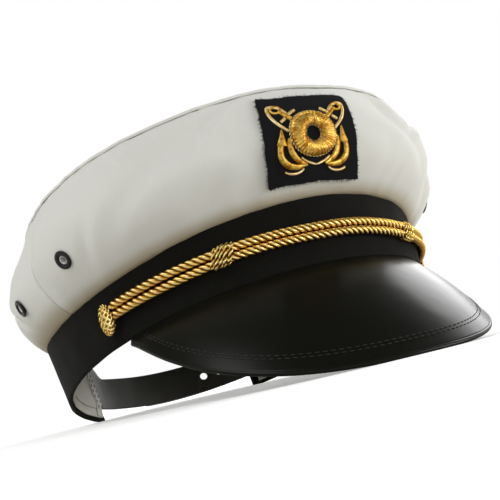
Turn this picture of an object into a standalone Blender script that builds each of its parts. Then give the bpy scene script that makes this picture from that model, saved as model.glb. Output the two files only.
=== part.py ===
"""Captain hat: soft white crown, black band, glossy peak, gold cord, badge and back strap.

The hat is worked out in its own frame, with the lower edge of the band in the plane
z = 0, the front towards -Y and the wearer's left towards +X.  At the end it is tipped
back onto the table, where it stands on the tip of the peak and on the two back ends of
the band, with the middle of its base at the world origin.  Lengths are in metres.
"""

import math

import bmesh
import bpy
from mathutils import Matrix, Vector

MM = 0.001
DEG = math.pi / 180.0

# Fit between pieces that touch
GAP = 0.3 * MM

# Stations along each curved piece, and sides of the round ones
CROWN_FRONT_STATIONS = 43
CROWN_BACK_STATIONS = 47
CROWN_LEVELS = 8
TOP_STATIONS = 50
BAND_STATIONS = 47
SWEATBAND_STATIONS = 49
PEAK_STATIONS = 37
PEAK_STEPS = 6
CORD_STATIONS = 43
STRAP_STATIONS = 14
CORD_SIDES = 8
RING_STATIONS = 20
EYELET_SIDES = 16
PEG_SIDES = 12

# Oval of the band's lower edge, measured on its outer face
HALF_LENGTH = 103.5 * MM
HALF_WIDTH = 86.5 * MM
BROW_WIDENING = 0.07

# Band and sweatband
BAND_END = 145.0 * DEG
BAND_FLARE = 3.0 * MM
BAND_CLOTH = 2.0 * MM
HEEL_LENGTH = 2.0 * DEG
HEEL_SETTLE = 1.3 * MM
SWEATBAND_CLOTH = 1.2 * MM
SWEATBAND_HEM = 3.0 * MM
SWEATBAND_LIFT = 1.8 * MM
SWEATBAND_DROP = 1.0 * MM
HEM_STEP = 1.0 * MM
STRAP_POCKET = 1.8 * MM

# Crown
CROWN_CLOTH = 2.2 * MM
SIDE_SEAM = 76.0 * DEG
SEAM_PINCH = 2.2 * MM
SEAM_PINCH_SPREAD = 5.0 * DEG
TOP_PUFF = 15.0 * MM
TOP_OVERHANG = 0.8 * MM
TOP_ROUNDING = 2.4
TOP_RINGS = [0.06, 0.22, 0.42, 0.62, 0.80, 0.93, 1.0]
ARCH_TOP = 60.0 * MM

# The hat round its oval, from the front (0) to the back (180), alike on both sides
HAT_SECTIONS = [
    # angle_deg, band_height_mm, seam_height_mm, seam_reach_mm, bulge_mm
    (0.0, 29.0, 70.0, 21.0, 12.5),
    (30.0, 27.5, 70.6, 18.5, 14.0),
    (60.0, 25.0, 72.8, 11.0, 15.5),
    (90.0, 26.5, 75.5, 2.5, 13.0),
    (120.0, 33.5, 77.5, -2.5, 9.5),
    (145.0, 41.0, 78.5, -2.5, 7.5),
    (180.0, 41.5, 79.0, -5.0, 6.5),
]
BAND_HEIGHT, SEAM_HEIGHT, SEAM_REACH, BULGE = range(1, 5)

# Soft dents pressed into the crown's side
CROWN_DENTS = [
    # angle_deg, level, angle_spread_deg, level_spread, lean_deg_per_level, depth_mm
    (-38.0, 0.55, 6.0, 0.30, 34.0, 2.6),
    (-19.0, 0.50, 3.5, 0.28, -14.0, 1.6),
    (27.0, 0.55, 5.0, 0.30, -30.0, 2.2),
    (52.0, 0.45, 7.0, 0.30, 26.0, 2.4),
    (112.0, 0.55, 9.0, 0.35, 20.0, 2.6),
    (158.0, 0.75, 8.0, 0.30, -24.0, 2.2),
    (-126.0, 0.60, 9.0, 0.35, -22.0, 2.6),
    (-168.0, 0.75, 7.0, 0.25, 20.0, 1.8),
]

# Peak
PEAK_END = 59.0 * DEG
PEAK_DEPTH = 59.0 * MM
PEAK_SLOPE = 60.0 * DEG
PEAK_BOARD = 2.0 * MM
PEAK_BOW = 1.5 * MM
PEAK_END_DEPTH = 2.0 * MM
PEAK_OUTLINE_POWER = 2.4
PEAK_OUTLINE_EASE = 1.22

# Gold cord, as two strands side by side
CORD_DIAMETER = 4.2 * MM
CORD_SPACING = 4.6 * MM
CORD_LOOP_SPACING = 5.6 * MM
CORD_END = 60.0 * DEG
KNOT_ANGLE = 29.0 * DEG
KNOT_LENGTH = 9.5 * MM
KNOT_CLEARANCE = 0.5 * MM
KNOT_WRAP = 0.8 * MM
KNOT_SWELL = 0.9 * MM
KNOT_SQUARENESS = 0.6
KNOT_HALF_TURN = 96.0 * DEG
KNOT_SIDES = 11
KNOT_STATIONS = 7
CORD_END_HALF_SIZE = (3.3 * MM, 2.3 * MM, 6.3 * MM)
CORD_END_DROP = 2.2 * MM

# How high the cord's middle runs, as a share of the band's height: it sags to the left
CORD_LEVELS = [
    # angle_deg, level
    (-60.0, 0.53),
    (-29.0, 0.49),
    (0.0, 0.44),
    (29.0, 0.40),
    (60.0, 0.50),
]

# Badge, set on the crown's front a little to the wearer's right
BADGE_ANGLE = -3.0 * DEG
BADGE_RADIUS = 122.0 * MM
BADGE_BASE = 5.0 * MM
BADGE_WIDTH = 41.0 * MM
BADGE_HEIGHT = 38.0 * MM
BADGE_CLOTH = 1.2 * MM
BADGE_TURN = -3.0 * DEG
BADGE_SKEW = 0.03
BADGE_CELLS = 8
EMBLEM_RELIEF = 1.0 * MM
RING_RADIUS = 6.2 * MM
RING_WIRE = 3.0 * MM
RING_FLATTENING = 0.55

# Each anchor, drawn upright about the badge's middle and then leaned over
ANCHOR_LEAN = 44.0 * DEG
ANCHOR_FOOT = -17.5 * MM
ANCHOR_HEAD = 17.5 * MM
ANCHOR_STOCK_AT = 14.0 * MM
ANCHOR_STOCK_HALF = 4.5 * MM
ANCHOR_ARM_RADIUS = 8.0 * MM
ANCHOR_ARM_SWEEP = 78.0 * DEG
SHANK_WIDTH = 1.8 * MM
STOCK_WIDTH = 1.5 * MM
ARM_WIDTH = 1.8 * MM
FLUKE_WIDTH = 2.8 * MM
FLUKE_POINT = 0.8 * MM

# Vent eyelets, at these angles on both sides
EYELET_PLACES = {"front": (63.0 * DEG, 0.27), "back": (88.0 * DEG, 0.27)}
EYELET_FLANGE_RADIUS = 4.3 * MM
EYELET_FLANGE = 0.9 * MM
EYELET_BARREL_RADIUS = 2.6 * MM
EYELET_HOLE_RADIUS = 1.9 * MM
EYELET_LENGTH = 4.2 * MM
EYELET_ROUNDING = 0.5 * MM
EYELET_CUT = 16.0 * MM

# Back strap
STRAP_HEIGHT = 18.0 * MM
STRAP_TAB_HEIGHT = 27.0 * MM
STRAP_TAB_LENGTH = 8.0 * MM
STRAP_BASE = 7.0 * MM
STRAP_PLASTIC = 1.2 * MM
STRAP_TUCK = 9.0 * MM
STRAP_CORNER = 7.0 * MM
STRAP_CORNER_STEPS = [0.57, 0.29, 0.10, 0.0]
PEG_HALF_EASE = 25.0 * MM
HOLE_HALF_LENGTH = 70.0 * MM
PEG_HALF_LENGTH = 72.0 * MM
HOLE_PITCH = 9.5 * MM
HOLE_RADIUS = 2.1 * MM
HOLE_COUNT = 7
FIRST_HOLE = 6.0 * MM
PEG_RADIUS = 1.7 * MM
PEG_COUNT = 6
PEG_LENGTH = 2.6 * MM
FREE_HOLES = 3
HOLE_CUT = 5.0 * MM


def clear_scene():
    for thing in list(bpy.data.objects):
        bpy.data.objects.remove(thing, do_unlink=True)


def material(name, colour, roughness, metallic=0.0):
    """A Principled material of one colour."""
    made = bpy.data.materials.new(name)
    made.use_nodes = True
    shader = made.node_tree.nodes["Principled BSDF"]
    shader.inputs["Base Color"].default_value = (*colour, 1.0)
    shader.inputs["Roughness"].default_value = roughness
    shader.inputs["Metallic"].default_value = metallic
    made.diffuse_color = (*colour, 1.0)
    return made


def section_value(angle, column):
    """One column of HAT_SECTIONS at any angle, eased between its rows by a cubic."""
    degrees = abs((angle / DEG + 180.0) % 360.0 - 180.0)
    rows = HAT_SECTIONS
    index = max(i for i in range(len(rows) - 1) if rows[i][0] <= degrees)

    def slope(i):
        if i == 0 or i == len(rows) - 1:
            return 0.0
        rise = rows[i + 1][column] - rows[i - 1][column]
        return rise / (rows[i + 1][0] - rows[i - 1][0])

    start, end = rows[index], rows[index + 1]
    span = end[0] - start[0]
    t = (degrees - start[0]) / span
    value = (
        (2 * t**3 - 3 * t**2 + 1) * start[column]
        + (t**3 - 2 * t**2 + t) * span * slope(index)
        + (3 * t**2 - 2 * t**3) * end[column]
        + (t**3 - t**2) * span * slope(index + 1)
    )
    return value * MM


def hat_point(angle, reach, height):
    """A point at an angle round the oval, a reach outside it and a height above it."""
    across = HALF_WIDTH * math.sin(angle) * (1.0 + BROW_WIDENING * math.cos(angle))
    along = -HALF_LENGTH * math.cos(angle)
    return Vector((across + reach * math.sin(angle), along - reach * math.cos(angle), height))


def outward(angle):
    return Vector((math.sin(angle), -math.cos(angle), 0.0))


def smooth_step(value):
    value = min(max(value, 0.0), 1.0)
    return value * value * (3.0 - 2.0 * value)


def spread(start, end, count):
    """Evenly spaced values from start to end."""
    return [start + (end - start) * i / (count - 1) for i in range(count)]


def angle_at(distance, start, reach, turn):
    """The angle a distance along the oval from a start angle, turning one way."""
    angle = start
    step = 0.25 * DEG * turn
    gone = 0.0
    while gone < distance:
        gone += (hat_point(angle + step, reach, 0.0) - hat_point(angle, reach, 0.0)).length
        angle += step
    return angle


def loft(name, sections, finish, cap=True):
    """One closed solid through sections that each have the same number of points."""
    shape = bmesh.new()
    loops = [[shape.verts.new(point) for point in section] for section in sections]
    count = len(loops[0])
    for first, second in zip(loops, loops[1:]):
        for i in range(count):
            j = (i + 1) % count
            shape.faces.new((first[i], first[j], second[j], second[i]))
    if cap:
        shape.faces.new(loops[0])
        shape.faces.new(loops[-1])
    return finish_solid(name, shape, finish)


def finish_solid(name, shape, finish):
    """Turns a bmesh into an object with outward faces and smooth shading."""
    bmesh.ops.recalc_face_normals(shape, faces=shape.faces)
    mesh = bpy.data.meshes.new(name)
    shape.to_mesh(mesh)
    shape.free()
    mesh.shade_smooth()
    mesh.set_sharp_from_angle(angle=40.0 * DEG)
    made = bpy.data.objects.new(name, mesh)
    bpy.context.collection.objects.link(made)
    made.data.materials.append(finish)
    return made


def cylinder(name, centre, axis, radius, length, sides, finish):
    """A closed cylinder about a centre."""
    shape = bmesh.new()
    turn = axis.to_track_quat("Z", "Y").to_matrix().to_4x4()
    bmesh.ops.create_cone(
        shape,
        cap_ends=True,
        segments=sides,
        radius1=radius,
        radius2=radius,
        depth=length,
        matrix=Matrix.Translation(centre) @ turn,
    )
    return finish_solid(name, shape, finish)


def add_boolean(target, other, operation):
    """Joins or cuts a solid with another, which stays as a hidden guide."""
    other.hide_render = True
    other.display_type = "WIRE"
    change = target.modifiers.new(operation.title(), "BOOLEAN")
    change.operation = operation
    change.solver = "EXACT"
    change.object = other


def dent_depth(angle, level):
    """How far the soft cloth is pressed in at a place on the crown's side."""
    depth = 0.0
    for at_deg, at_level, angle_spread, level_spread, lean, deepest in CROWN_DENTS:
        off_angle = (angle / DEG - at_deg - lean * (level - at_level) + 180.0) % 360.0 - 180.0
        across = off_angle / angle_spread
        along = (level - at_level) / level_spread
        depth += deepest * MM * math.exp(-across * across - along * along)
    seam_off = (abs(angle) - SIDE_SEAM) / SEAM_PINCH_SPREAD
    return depth + SEAM_PINCH * math.sin(math.pi * level) * math.exp(-seam_off * seam_off)


def crown_reach(angle, level):
    """Reach of the crown's outer face, from the band (level 0) to the top seam (1)."""
    lean = BAND_FLARE + (section_value(angle, SEAM_REACH) - BAND_FLARE) * level
    swell = section_value(angle, BULGE) * math.sin(math.pi * level**0.75)
    return lean + swell - dent_depth(angle, level)


def crown_height(angle, level):
    low = section_value(angle, BAND_HEIGHT) + GAP
    return low + (section_value(angle, SEAM_HEIGHT) - low) * level


def crown_point(angle, level):
    return hat_point(angle, crown_reach(angle, level), crown_height(angle, level))


def crown_normal(angle, level):
    """Outward normal of the crown's side, from two short steps over it."""
    step = 0.01
    round_it = crown_point(angle + step, level) - crown_point(angle - step, level)
    up_it = crown_point(angle, level + step) - crown_point(angle, level - step)
    return round_it.cross(up_it).normalized()


def arch_level(angle):
    """Lowest level of the back panel, raised in an arch over the strap."""
    past_end = (abs(angle) - BAND_END) / (math.pi - BAND_END)
    if past_end <= 0.0:
        return 0.0
    rise = math.sqrt(1.0 - (1.0 - past_end) ** 2)
    low = section_value(angle, BAND_HEIGHT)
    lift = (ARCH_TOP - section_value(BAND_END, BAND_HEIGHT)) * rise
    return lift / (section_value(angle, SEAM_HEIGHT) - low)


def crown_panel(name, angles, finish):
    """A strip of the crown's side as a cloth wall between the given angles."""
    steps = spread(0.0, 1.0, CROWN_LEVELS)
    sections = []
    for angle in angles:
        low = arch_level(angle)
        levels = [low + (1.0 - low) * step for step in steps]
        outer = [crown_point(angle, level) for level in levels]
        inner = [point - outward(angle) * CROWN_CLOTH for point in reversed(outer)]
        sections.append(outer + inner)
    return loft(name, sections, finish)


def crown_panels(finish):
    inset = 0.5 * GAP / HALF_WIDTH
    front_angles = spread(-SIDE_SEAM + inset, SIDE_SEAM - inset, CROWN_FRONT_STATIONS)
    front = crown_panel("crown_front", front_angles, finish)
    back_angles = []
    for turn in spread(SIDE_SEAM + inset, 2.0 * math.pi - SIDE_SEAM - inset, CROWN_BACK_STATIONS):
        back_angles.append(turn if turn <= math.pi else turn - 2.0 * math.pi)
    back = crown_panel("crown_back", back_angles, finish)
    return front, back


def crown_top(finish):
    """The top panel: a puffed disc that closes the crown at the top seam."""
    angles = [2.0 * math.pi * i / TOP_STATIONS for i in range(TOP_STATIONS)]
    centre_height = sum(section_value(a, SEAM_HEIGHT) for a in angles) / len(angles)
    centre = hat_point(0.0, section_value(0.0, SEAM_REACH), 0.0)
    centre = 0.5 * (centre + hat_point(math.pi, section_value(math.pi, SEAM_REACH), 0.0))

    def ring(share, lift):
        points = []
        for angle in angles:
            edge = crown_point(angle, 1.0) + outward(angle) * TOP_OVERHANG
            flat = centre.lerp(Vector((edge.x, edge.y, 0.0)), share)
            seat = centre_height + (edge.z - centre_height) * share
            puff = TOP_PUFF * (1.0 - share**TOP_ROUNDING)
            points.append(Vector((flat.x, flat.y, seat + GAP + puff + lift)))
        return points

    under = [ring(share, 0.0) for share in TOP_RINGS]
    over = [ring(share, CROWN_CLOTH) for share in reversed(TOP_RINGS)]
    return loft("crown_top", under + over, finish)


def band_reach(angle, height):
    """Reach of the band's outer face, which leans out towards its top edge."""
    return BAND_FLARE * height / section_value(angle, BAND_HEIGHT)


def band(finish):
    heel = BAND_END - HEEL_LENGTH
    sections = []
    for angle in [-BAND_END, *spread(-heel, heel, BAND_STATIONS), BAND_END]:
        top = section_value(angle, BAND_HEIGHT)
        heights = [0.0, 0.5 * top, top]
        outer = [hat_point(angle, band_reach(angle, h), h) for h in heights]
        inner = [point - outward(angle) * BAND_CLOTH for point in reversed(outer)]
        sections.append(outer + inner)
    return loft("band", sections, finish)


def sweatband(finish):
    """The inner band: its hem meets the band, and above the hem it stands clear of it."""
    sections = []
    for angle in spread(-BAND_END, BAND_END, SWEATBAND_STATIONS):
        top = section_value(angle, BAND_HEIGHT) - SWEATBAND_DROP
        hem_reach = -BAND_CLOTH - GAP
        wall_reach = -BAND_CLOTH - STRAP_POCKET
        profile = [
            (hem_reach, SWEATBAND_LIFT),
            (hem_reach, SWEATBAND_LIFT + SWEATBAND_HEM),
            (wall_reach, SWEATBAND_LIFT + SWEATBAND_HEM + HEM_STEP),
            (wall_reach, top),
            (wall_reach - SWEATBAND_CLOTH, top),
            (wall_reach - SWEATBAND_CLOTH, SWEATBAND_LIFT),
        ]
        sections.append([hat_point(angle, r + band_reach(angle, h), h) for r, h in profile])
    return loft("sweatband", sections, finish)


def peak_depth(angle):
    """Depth of the peak from the band to its edge, along its slope."""
    share = min(abs(angle) / PEAK_END, 1.0)
    rounded = (1.0 - share**PEAK_OUTLINE_POWER) ** PEAK_OUTLINE_EASE
    return PEAK_END_DEPTH + (PEAK_DEPTH - PEAK_END_DEPTH) * rounded


def peak_point(angle, share, under):
    """A point on the peak, a share of the way to its edge and so far under its top."""
    down = peak_depth(angle) * share
    fullness = math.sqrt(max(peak_depth(angle) / PEAK_DEPTH, 0.0))
    proud = PEAK_BOW * math.sin(math.pi * share) * fullness - under
    reach = down * math.cos(PEAK_SLOPE) + proud * math.sin(PEAK_SLOPE)
    height = -GAP - down * math.sin(PEAK_SLOPE) + proud * math.cos(PEAK_SLOPE)
    return hat_point(angle, reach, height)


def peak(finish):
    sections = []
    shares = spread(0.0, 1.0, PEAK_STEPS)
    for step in spread(-1.0, 1.0, PEAK_STATIONS):
        angle = PEAK_END * math.sin(0.5 * math.pi * step)
        top = [peak_point(angle, share, 0.0) for share in shares]
        below = [peak_point(angle, share, PEAK_BOARD) for share in reversed(shares)]
        sections.append(top + below)
    return loft("peak", sections, finish)


def cord_spacing(angle):
    """The strands part a little between the knots and the cord's ends."""
    share = (abs(angle) - KNOT_ANGLE) / (CORD_END - KNOT_ANGLE)
    if share <= 0.0:
        return CORD_SPACING
    return CORD_SPACING + (CORD_LOOP_SPACING - CORD_SPACING) * math.sin(math.pi * share)


def cord_height(angle):
    """Height of the cord's middle, eased between the rows of CORD_LEVELS."""
    degrees = angle / DEG
    rows = CORD_LEVELS
    index = 0
    while index < len(rows) - 2 and degrees > rows[index + 1][0]:
        index += 1
    start, end = rows[index], rows[index + 1]
    share = smooth_step((degrees - start[0]) / (end[0] - start[0]))
    level = start[1] + (end[1] - start[1]) * share
    return level * section_value(angle, BAND_HEIGHT)


def cord_reach(angle, height):
    return band_reach(angle, height) + GAP + 0.5 * CORD_DIAMETER


def cord(name, side, finish):
    """One strand of the gold cord; side is 1 for the upper strand and -1 for the lower."""
    sections = []
    for angle in spread(-CORD_END, CORD_END, CORD_STATIONS):
        height = cord_height(angle) + side * 0.5 * cord_spacing(angle)
        reach = cord_reach(angle, height)
        section = []
        for i in range(CORD_SIDES):
            turn = 2.0 * math.pi * i / CORD_SIDES
            across = 0.5 * CORD_DIAMETER * math.cos(turn)
            up = 0.5 * CORD_DIAMETER * math.sin(turn)
            section.append(hat_point(angle, reach + across, height + up))
        sections.append(section)
    return loft(name, sections, finish)


def cord_knot(name, centre_angle, finish):
    """A wrap of cord over both strands, open towards the band."""
    half_turn = 0.5 * KNOT_LENGTH / (HALF_LENGTH + CORD_DIAMETER)
    clear_depth = 0.5 * CORD_DIAMETER + KNOT_CLEARANCE
    clear_height = 0.5 * CORD_SPACING + 0.5 * CORD_DIAMETER + KNOT_CLEARANCE
    turns = spread(-KNOT_HALF_TURN, KNOT_HALF_TURN, KNOT_SIDES)
    sections = []
    for share in spread(-1.0, 1.0, KNOT_STATIONS):
        angle = centre_angle + half_turn * share
        middle = cord_height(angle)
        reach = cord_reach(angle, middle)
        wrap = KNOT_WRAP + KNOT_SWELL * math.cos(0.5 * math.pi * share)
        outer = []
        inner = []
        for turn in turns:
            across = math.copysign(abs(math.cos(turn)) ** KNOT_SQUARENESS, math.cos(turn))
            up = math.sin(turn)
            inner.append(hat_point(angle, reach + clear_depth * across, middle + clear_height * up))
            far_reach = reach + (clear_depth + wrap) * across
            outer.append(hat_point(angle, far_reach, middle + (clear_height + wrap) * up))
        sections.append(outer + inner[::-1])
    return loft(name, sections, finish)


def cord_end(name, side, finish):
    """The flattened knotted end of the cord, hanging a little below it."""
    half_width, half_depth, half_height = CORD_END_HALF_SIZE
    away = (half_width + GAP) / (HALF_WIDTH + CORD_DIAMETER)
    angle = side * (CORD_END + away)
    height = cord_height(angle) - CORD_END_DROP
    reach = band_reach(angle, height) + 2.0 * GAP + half_depth
    centre = hat_point(angle, reach, height)
    normal = hat_point(angle + 0.01, 0.0, 0.0) - hat_point(angle - 0.01, 0.0, 0.0)
    along = normal.normalized()
    out = along.cross(Vector((0.0, 0.0, 1.0)))
    axes = Matrix((along, out, (0.0, 0.0, 1.0))).transposed().to_4x4()
    size = Matrix.Diagonal((half_width, half_depth, half_height, 1.0))
    shape = bmesh.new()
    bmesh.ops.create_uvsphere(
        shape,
        u_segments=12,
        v_segments=8,
        radius=1.0,
        matrix=Matrix.Translation(centre) @ axes @ size,
    )
    return finish_solid(name, shape, finish)


def crown_run():
    """Levels up the crown's front with the length of cloth from the band to each."""
    levels = spread(0.0, 1.0, 41)
    lengths = [0.0]
    for low, high in zip(levels, levels[1:]):
        step = crown_point(BADGE_ANGLE, high) - crown_point(BADGE_ANGLE, low)
        lengths.append(lengths[-1] + step.length)
    return levels, lengths


CROWN_RUN = crown_run()


def on_badge(across, up, lift):
    """A place on the badge, in its flat width and height, laid on the crown's front."""
    turned_across = across * math.cos(BADGE_TURN) - up * math.sin(BADGE_TURN)
    turned_up = across * math.sin(BADGE_TURN) + up * math.cos(BADGE_TURN)
    distance = BADGE_BASE + 0.5 * BADGE_HEIGHT + turned_up
    levels, lengths = CROWN_RUN
    index = max(i for i in range(len(lengths) - 1) if lengths[i] <= distance)
    share = (distance - lengths[index]) / (lengths[index + 1] - lengths[index])
    level = levels[index] + (levels[index + 1] - levels[index]) * share
    angle = BADGE_ANGLE + turned_across / BADGE_RADIUS
    return crown_point(angle, level) + crown_normal(angle, level) * lift


def lay_on_badge(made):
    """Bends a flat piece, modelled in the badge's own plane, onto the crown."""
    for vertex in made.data.vertices:
        vertex.co = on_badge(*vertex.co)


def badge_patch(finish):
    """The cloth patch, cut a little out of square."""
    cells = BADGE_CELLS
    rows = []
    for j in range(cells + 1):
        up = BADGE_HEIGHT * (j / cells - 0.5)
        width = BADGE_WIDTH * (1.0 + BADGE_SKEW * (0.5 - j / cells))
        row = [Vector((width * (i / cells - 0.5), up, 0.0)) for i in range(cells + 1)]
        rows.append(row)
    shape = bmesh.new()
    low = 2.0 * GAP
    layers = []
    for lift in (low, low + BADGE_CLOTH):
        layers.append([[shape.verts.new(p + Vector((0.0, 0.0, lift))) for p in row] for row in rows])
    for layer in layers:
        for j in range(cells):
            for i in range(cells):
                shape.faces.new((layer[j][i], layer[j][i + 1], layer[j + 1][i + 1], layer[j + 1][i]))
    edges = [edge for edge in shape.edges if edge.is_boundary]
    bmesh.ops.bridge_loops(shape, edges=edges)
    made = finish_solid("badge_patch", shape, finish)
    lay_on_badge(made)
    return made


def bar(points, widths):
    """Sections of a flat raised bar through points in the badge's plane."""
    low = 3.0 * GAP + BADGE_CLOTH
    high = low + EMBLEM_RELIEF
    sections = []
    for i, point in enumerate(points):
        before = points[max(i - 1, 0)]
        after = points[min(i + 1, len(points) - 1)]
        side = (after - before).normalized().orthogonal() * 0.5 * widths[i]
        left, right = point + side, point - side
        sections.append([(*left, low), (*right, low), (*right, high), (*left, high)])
    return sections


def anchor_bars(lean):
    """The shank, stock and arms of one anchor whose shank leans to one side."""
    axis = Vector((math.sin(lean), math.cos(lean)))
    across = Vector((axis.y, -axis.x))
    shank = [axis * x for x in spread(ANCHOR_FOOT, ANCHOR_HEAD, 9)]
    stock_spread = spread(-ANCHOR_STOCK_HALF, ANCHOR_STOCK_HALF, 3)
    stock = [axis * ANCHOR_STOCK_AT + across * x for x in stock_spread]
    arm_centre = axis * (ANCHOR_FOOT + ANCHOR_ARM_RADIUS)
    arms = []
    for turn in spread(-ANCHOR_ARM_SWEEP, ANCHOR_ARM_SWEEP, 9):
        spoke = across * math.sin(turn) - axis * math.cos(turn)
        arms.append(arm_centre + spoke * ANCHOR_ARM_RADIUS)
    fluke = [FLUKE_POINT, FLUKE_WIDTH]
    arm_widths = fluke + [ARM_WIDTH] * 5 + fluke[::-1]
    return [
        bar(shank, [SHANK_WIDTH] * len(shank)),
        bar(stock, [STOCK_WIDTH] * len(stock)),
        bar(arms, arm_widths),
    ]


def badge_anchors(finish):
    """Two crossed anchors in padded stitching, fused into one relief."""
    made = None
    for lean in (ANCHOR_LEAN, -ANCHOR_LEAN):
        for sections in anchor_bars(lean):
            piece = loft("badge_anchors", sections, finish)
            if made is None:
                made = piece
            else:
                add_boolean(made, piece, "UNION")
    settle_modifiers(made)
    lay_on_badge(made)
    return made


def settle_modifiers(made):
    """Keeps the mesh that the modifiers give, and clears their hidden guides."""
    graph = bpy.context.evaluated_depsgraph_get()
    mesh = bpy.data.meshes.new_from_object(made.evaluated_get(graph))
    guides = [change.object for change in made.modifiers]
    made.modifiers.clear()
    made.data = mesh
    for guide in guides:
        bpy.data.objects.remove(guide, do_unlink=True)


def badge_ring(finish):
    """The padded ring over the place where the anchors cross."""
    low = 4.0 * GAP + BADGE_CLOTH + EMBLEM_RELIEF
    height = RING_WIRE * RING_FLATTENING
    shape = bmesh.new()
    rings = []
    for i in range(RING_STATIONS):
        turn = 2.0 * math.pi * i / RING_STATIONS
        out = Vector((math.cos(turn), math.sin(turn)))
        section = []
        for j in range(CORD_SIDES):
            roll = 2.0 * math.pi * (j + 0.5) / CORD_SIDES
            flat = out * (RING_RADIUS + RING_WIRE * math.cos(roll))
            section.append(Vector((flat.x, flat.y, low + height * (1.0 + math.sin(roll)))))
        rings.append([shape.verts.new(point) for point in section])
    for i in range(RING_STATIONS):
        here, following = rings[i], rings[(i + 1) % RING_STATIONS]
        for j in range(CORD_SIDES):
            k = (j + 1) % CORD_SIDES
            shape.faces.new((here[j], here[k], following[k], following[j]))
    made = finish_solid("badge_ring", shape, finish)
    lay_on_badge(made)
    return made


def eyelet(name, angle, level, panel, cloth, finish):
    """A flanged ring through the crown, and the hole that it sits in."""
    centre = crown_point(angle, level)
    axis = crown_normal(angle, level)
    radius = EYELET_BARREL_RADIUS + GAP
    cutter = cylinder(name + "_cutter", centre, axis, radius, EYELET_CUT, EYELET_SIDES, cloth)
    add_boolean(panel, cutter, "DIFFERENCE")
    profile = [
        (EYELET_HOLE_RADIUS, 2.0 * GAP + EYELET_FLANGE),
        (EYELET_FLANGE_RADIUS - EYELET_ROUNDING, 2.0 * GAP + EYELET_FLANGE),
        (EYELET_FLANGE_RADIUS, 2.0 * GAP + 0.5 * EYELET_FLANGE),
        (EYELET_FLANGE_RADIUS, 2.0 * GAP),
        (EYELET_BARREL_RADIUS, 2.0 * GAP),
        (EYELET_BARREL_RADIUS, 2.0 * GAP + EYELET_FLANGE - EYELET_LENGTH),
        (EYELET_HOLE_RADIUS, 2.0 * GAP + EYELET_FLANGE - EYELET_LENGTH),
    ]
    turn_to_axis = axis.to_track_quat("Z", "Y").to_matrix()
    shape = bmesh.new()
    rings = []
    for i in range(EYELET_SIDES):
        turn = 2.0 * math.pi * i / EYELET_SIDES
        ring = []
        for radius, height in profile:
            local = Vector((radius * math.cos(turn), radius * math.sin(turn), height))
            ring.append(shape.verts.new(centre + turn_to_axis @ local))
        rings.append(ring)
    for i in range(EYELET_SIDES):
        here, following = rings[i], rings[(i + 1) % EYELET_SIDES]
        for j in range(len(profile)):
            k = (j + 1) % len(profile)
            shape.faces.new((here[j], here[k], following[k], following[j]))
    return finish_solid(name, shape, finish)


def eyelets(front, back, cloth, finish):
    made = []
    for side_name, side in (("right", -1.0), ("left", 1.0)):
        for place, (angle, level) in EYELET_PLACES.items():
            panel = front if place == "front" else back
            name = "eyelet_" + side_name + "_" + place
            made.append(eyelet(name, side * angle, level, panel, cloth, finish))
    return made


def strap_half(name, side, length, reach_at, finish):
    """One half of the strap, from inside the band's end on one side to its rounded tip."""
    start = side * BAND_END
    distances = [-STRAP_TUCK, -0.5 * STRAP_TUCK, 0.0, 0.5 * STRAP_TAB_LENGTH]
    distances += spread(STRAP_TAB_LENGTH, length - STRAP_CORNER, STRAP_STATIONS)
    distances += [length - STRAP_CORNER * share for share in STRAP_CORNER_STEPS]
    sections = []
    for distance in distances:
        if distance < 0.0:
            angle = angle_at(-distance, start, -BAND_CLOTH, -side)
        else:
            angle = angle_at(distance, start, -BAND_CLOTH, side)
        widen = 1.0 - smooth_step(distance / STRAP_TAB_LENGTH)
        into_corner = max(STRAP_CORNER - (length - distance), 0.0)
        cut = STRAP_CORNER - math.sqrt(STRAP_CORNER**2 - into_corner**2)
        low = STRAP_BASE + cut
        top = STRAP_BASE + STRAP_HEIGHT + (STRAP_TAB_HEIGHT - STRAP_HEIGHT) * widen - cut
        outer = reach_at(distance)
        inner = outer - STRAP_PLASTIC
        corners = [(outer, low), (outer, top), (inner, top), (inner, low)]
        sections.append([hat_point(angle, r + band_reach_at_end(h), h) for r, h in corners])
    return loft(name, sections, finish)


def band_reach_at_end(height):
    return band_reach(BAND_END, height)


def strap(finish):
    """The two strap halves, with the pegs of one through the holes of the other."""
    layer = -BAND_CLOTH - GAP
    under_layer = layer - STRAP_PLASTIC - GAP

    def hole_half_reach(distance):
        return layer

    def peg_half_reach(distance):
        return layer + (under_layer - layer) * smooth_step(distance / PEG_HALF_EASE)

    hole_half = strap_half("strap_hole_half", 1.0, HOLE_HALF_LENGTH, hole_half_reach, finish)
    peg_half = strap_half("strap_peg_half", -1.0, PEG_HALF_LENGTH, peg_half_reach, finish)
    middle = STRAP_BASE + 0.5 * STRAP_HEIGHT
    lean = band_reach_at_end(middle)
    for number in range(HOLE_COUNT):
        angle = angle_at(FIRST_HOLE + HOLE_PITCH * number, BAND_END, -BAND_CLOTH, 1.0)
        centre = hat_point(angle, layer + lean - 0.5 * STRAP_PLASTIC, middle)
        cutter = cylinder("hole_cutter", centre, outward(angle), HOLE_RADIUS, HOLE_CUT, PEG_SIDES, finish)
        add_boolean(hole_half, cutter, "DIFFERENCE")
    for number in range(FREE_HOLES, FREE_HOLES + PEG_COUNT):
        angle = angle_at(FIRST_HOLE + HOLE_PITCH * number, BAND_END, -BAND_CLOTH, 1.0)
        foot = under_layer + lean - 0.5 * STRAP_PLASTIC
        centre = hat_point(angle, foot + 0.5 * PEG_LENGTH, middle)
        peg = cylinder("peg", centre, outward(angle), PEG_RADIUS, PEG_LENGTH, PEG_SIDES, finish)
        add_boolean(peg_half, peg, "UNION")
    return hole_half, peg_half


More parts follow.
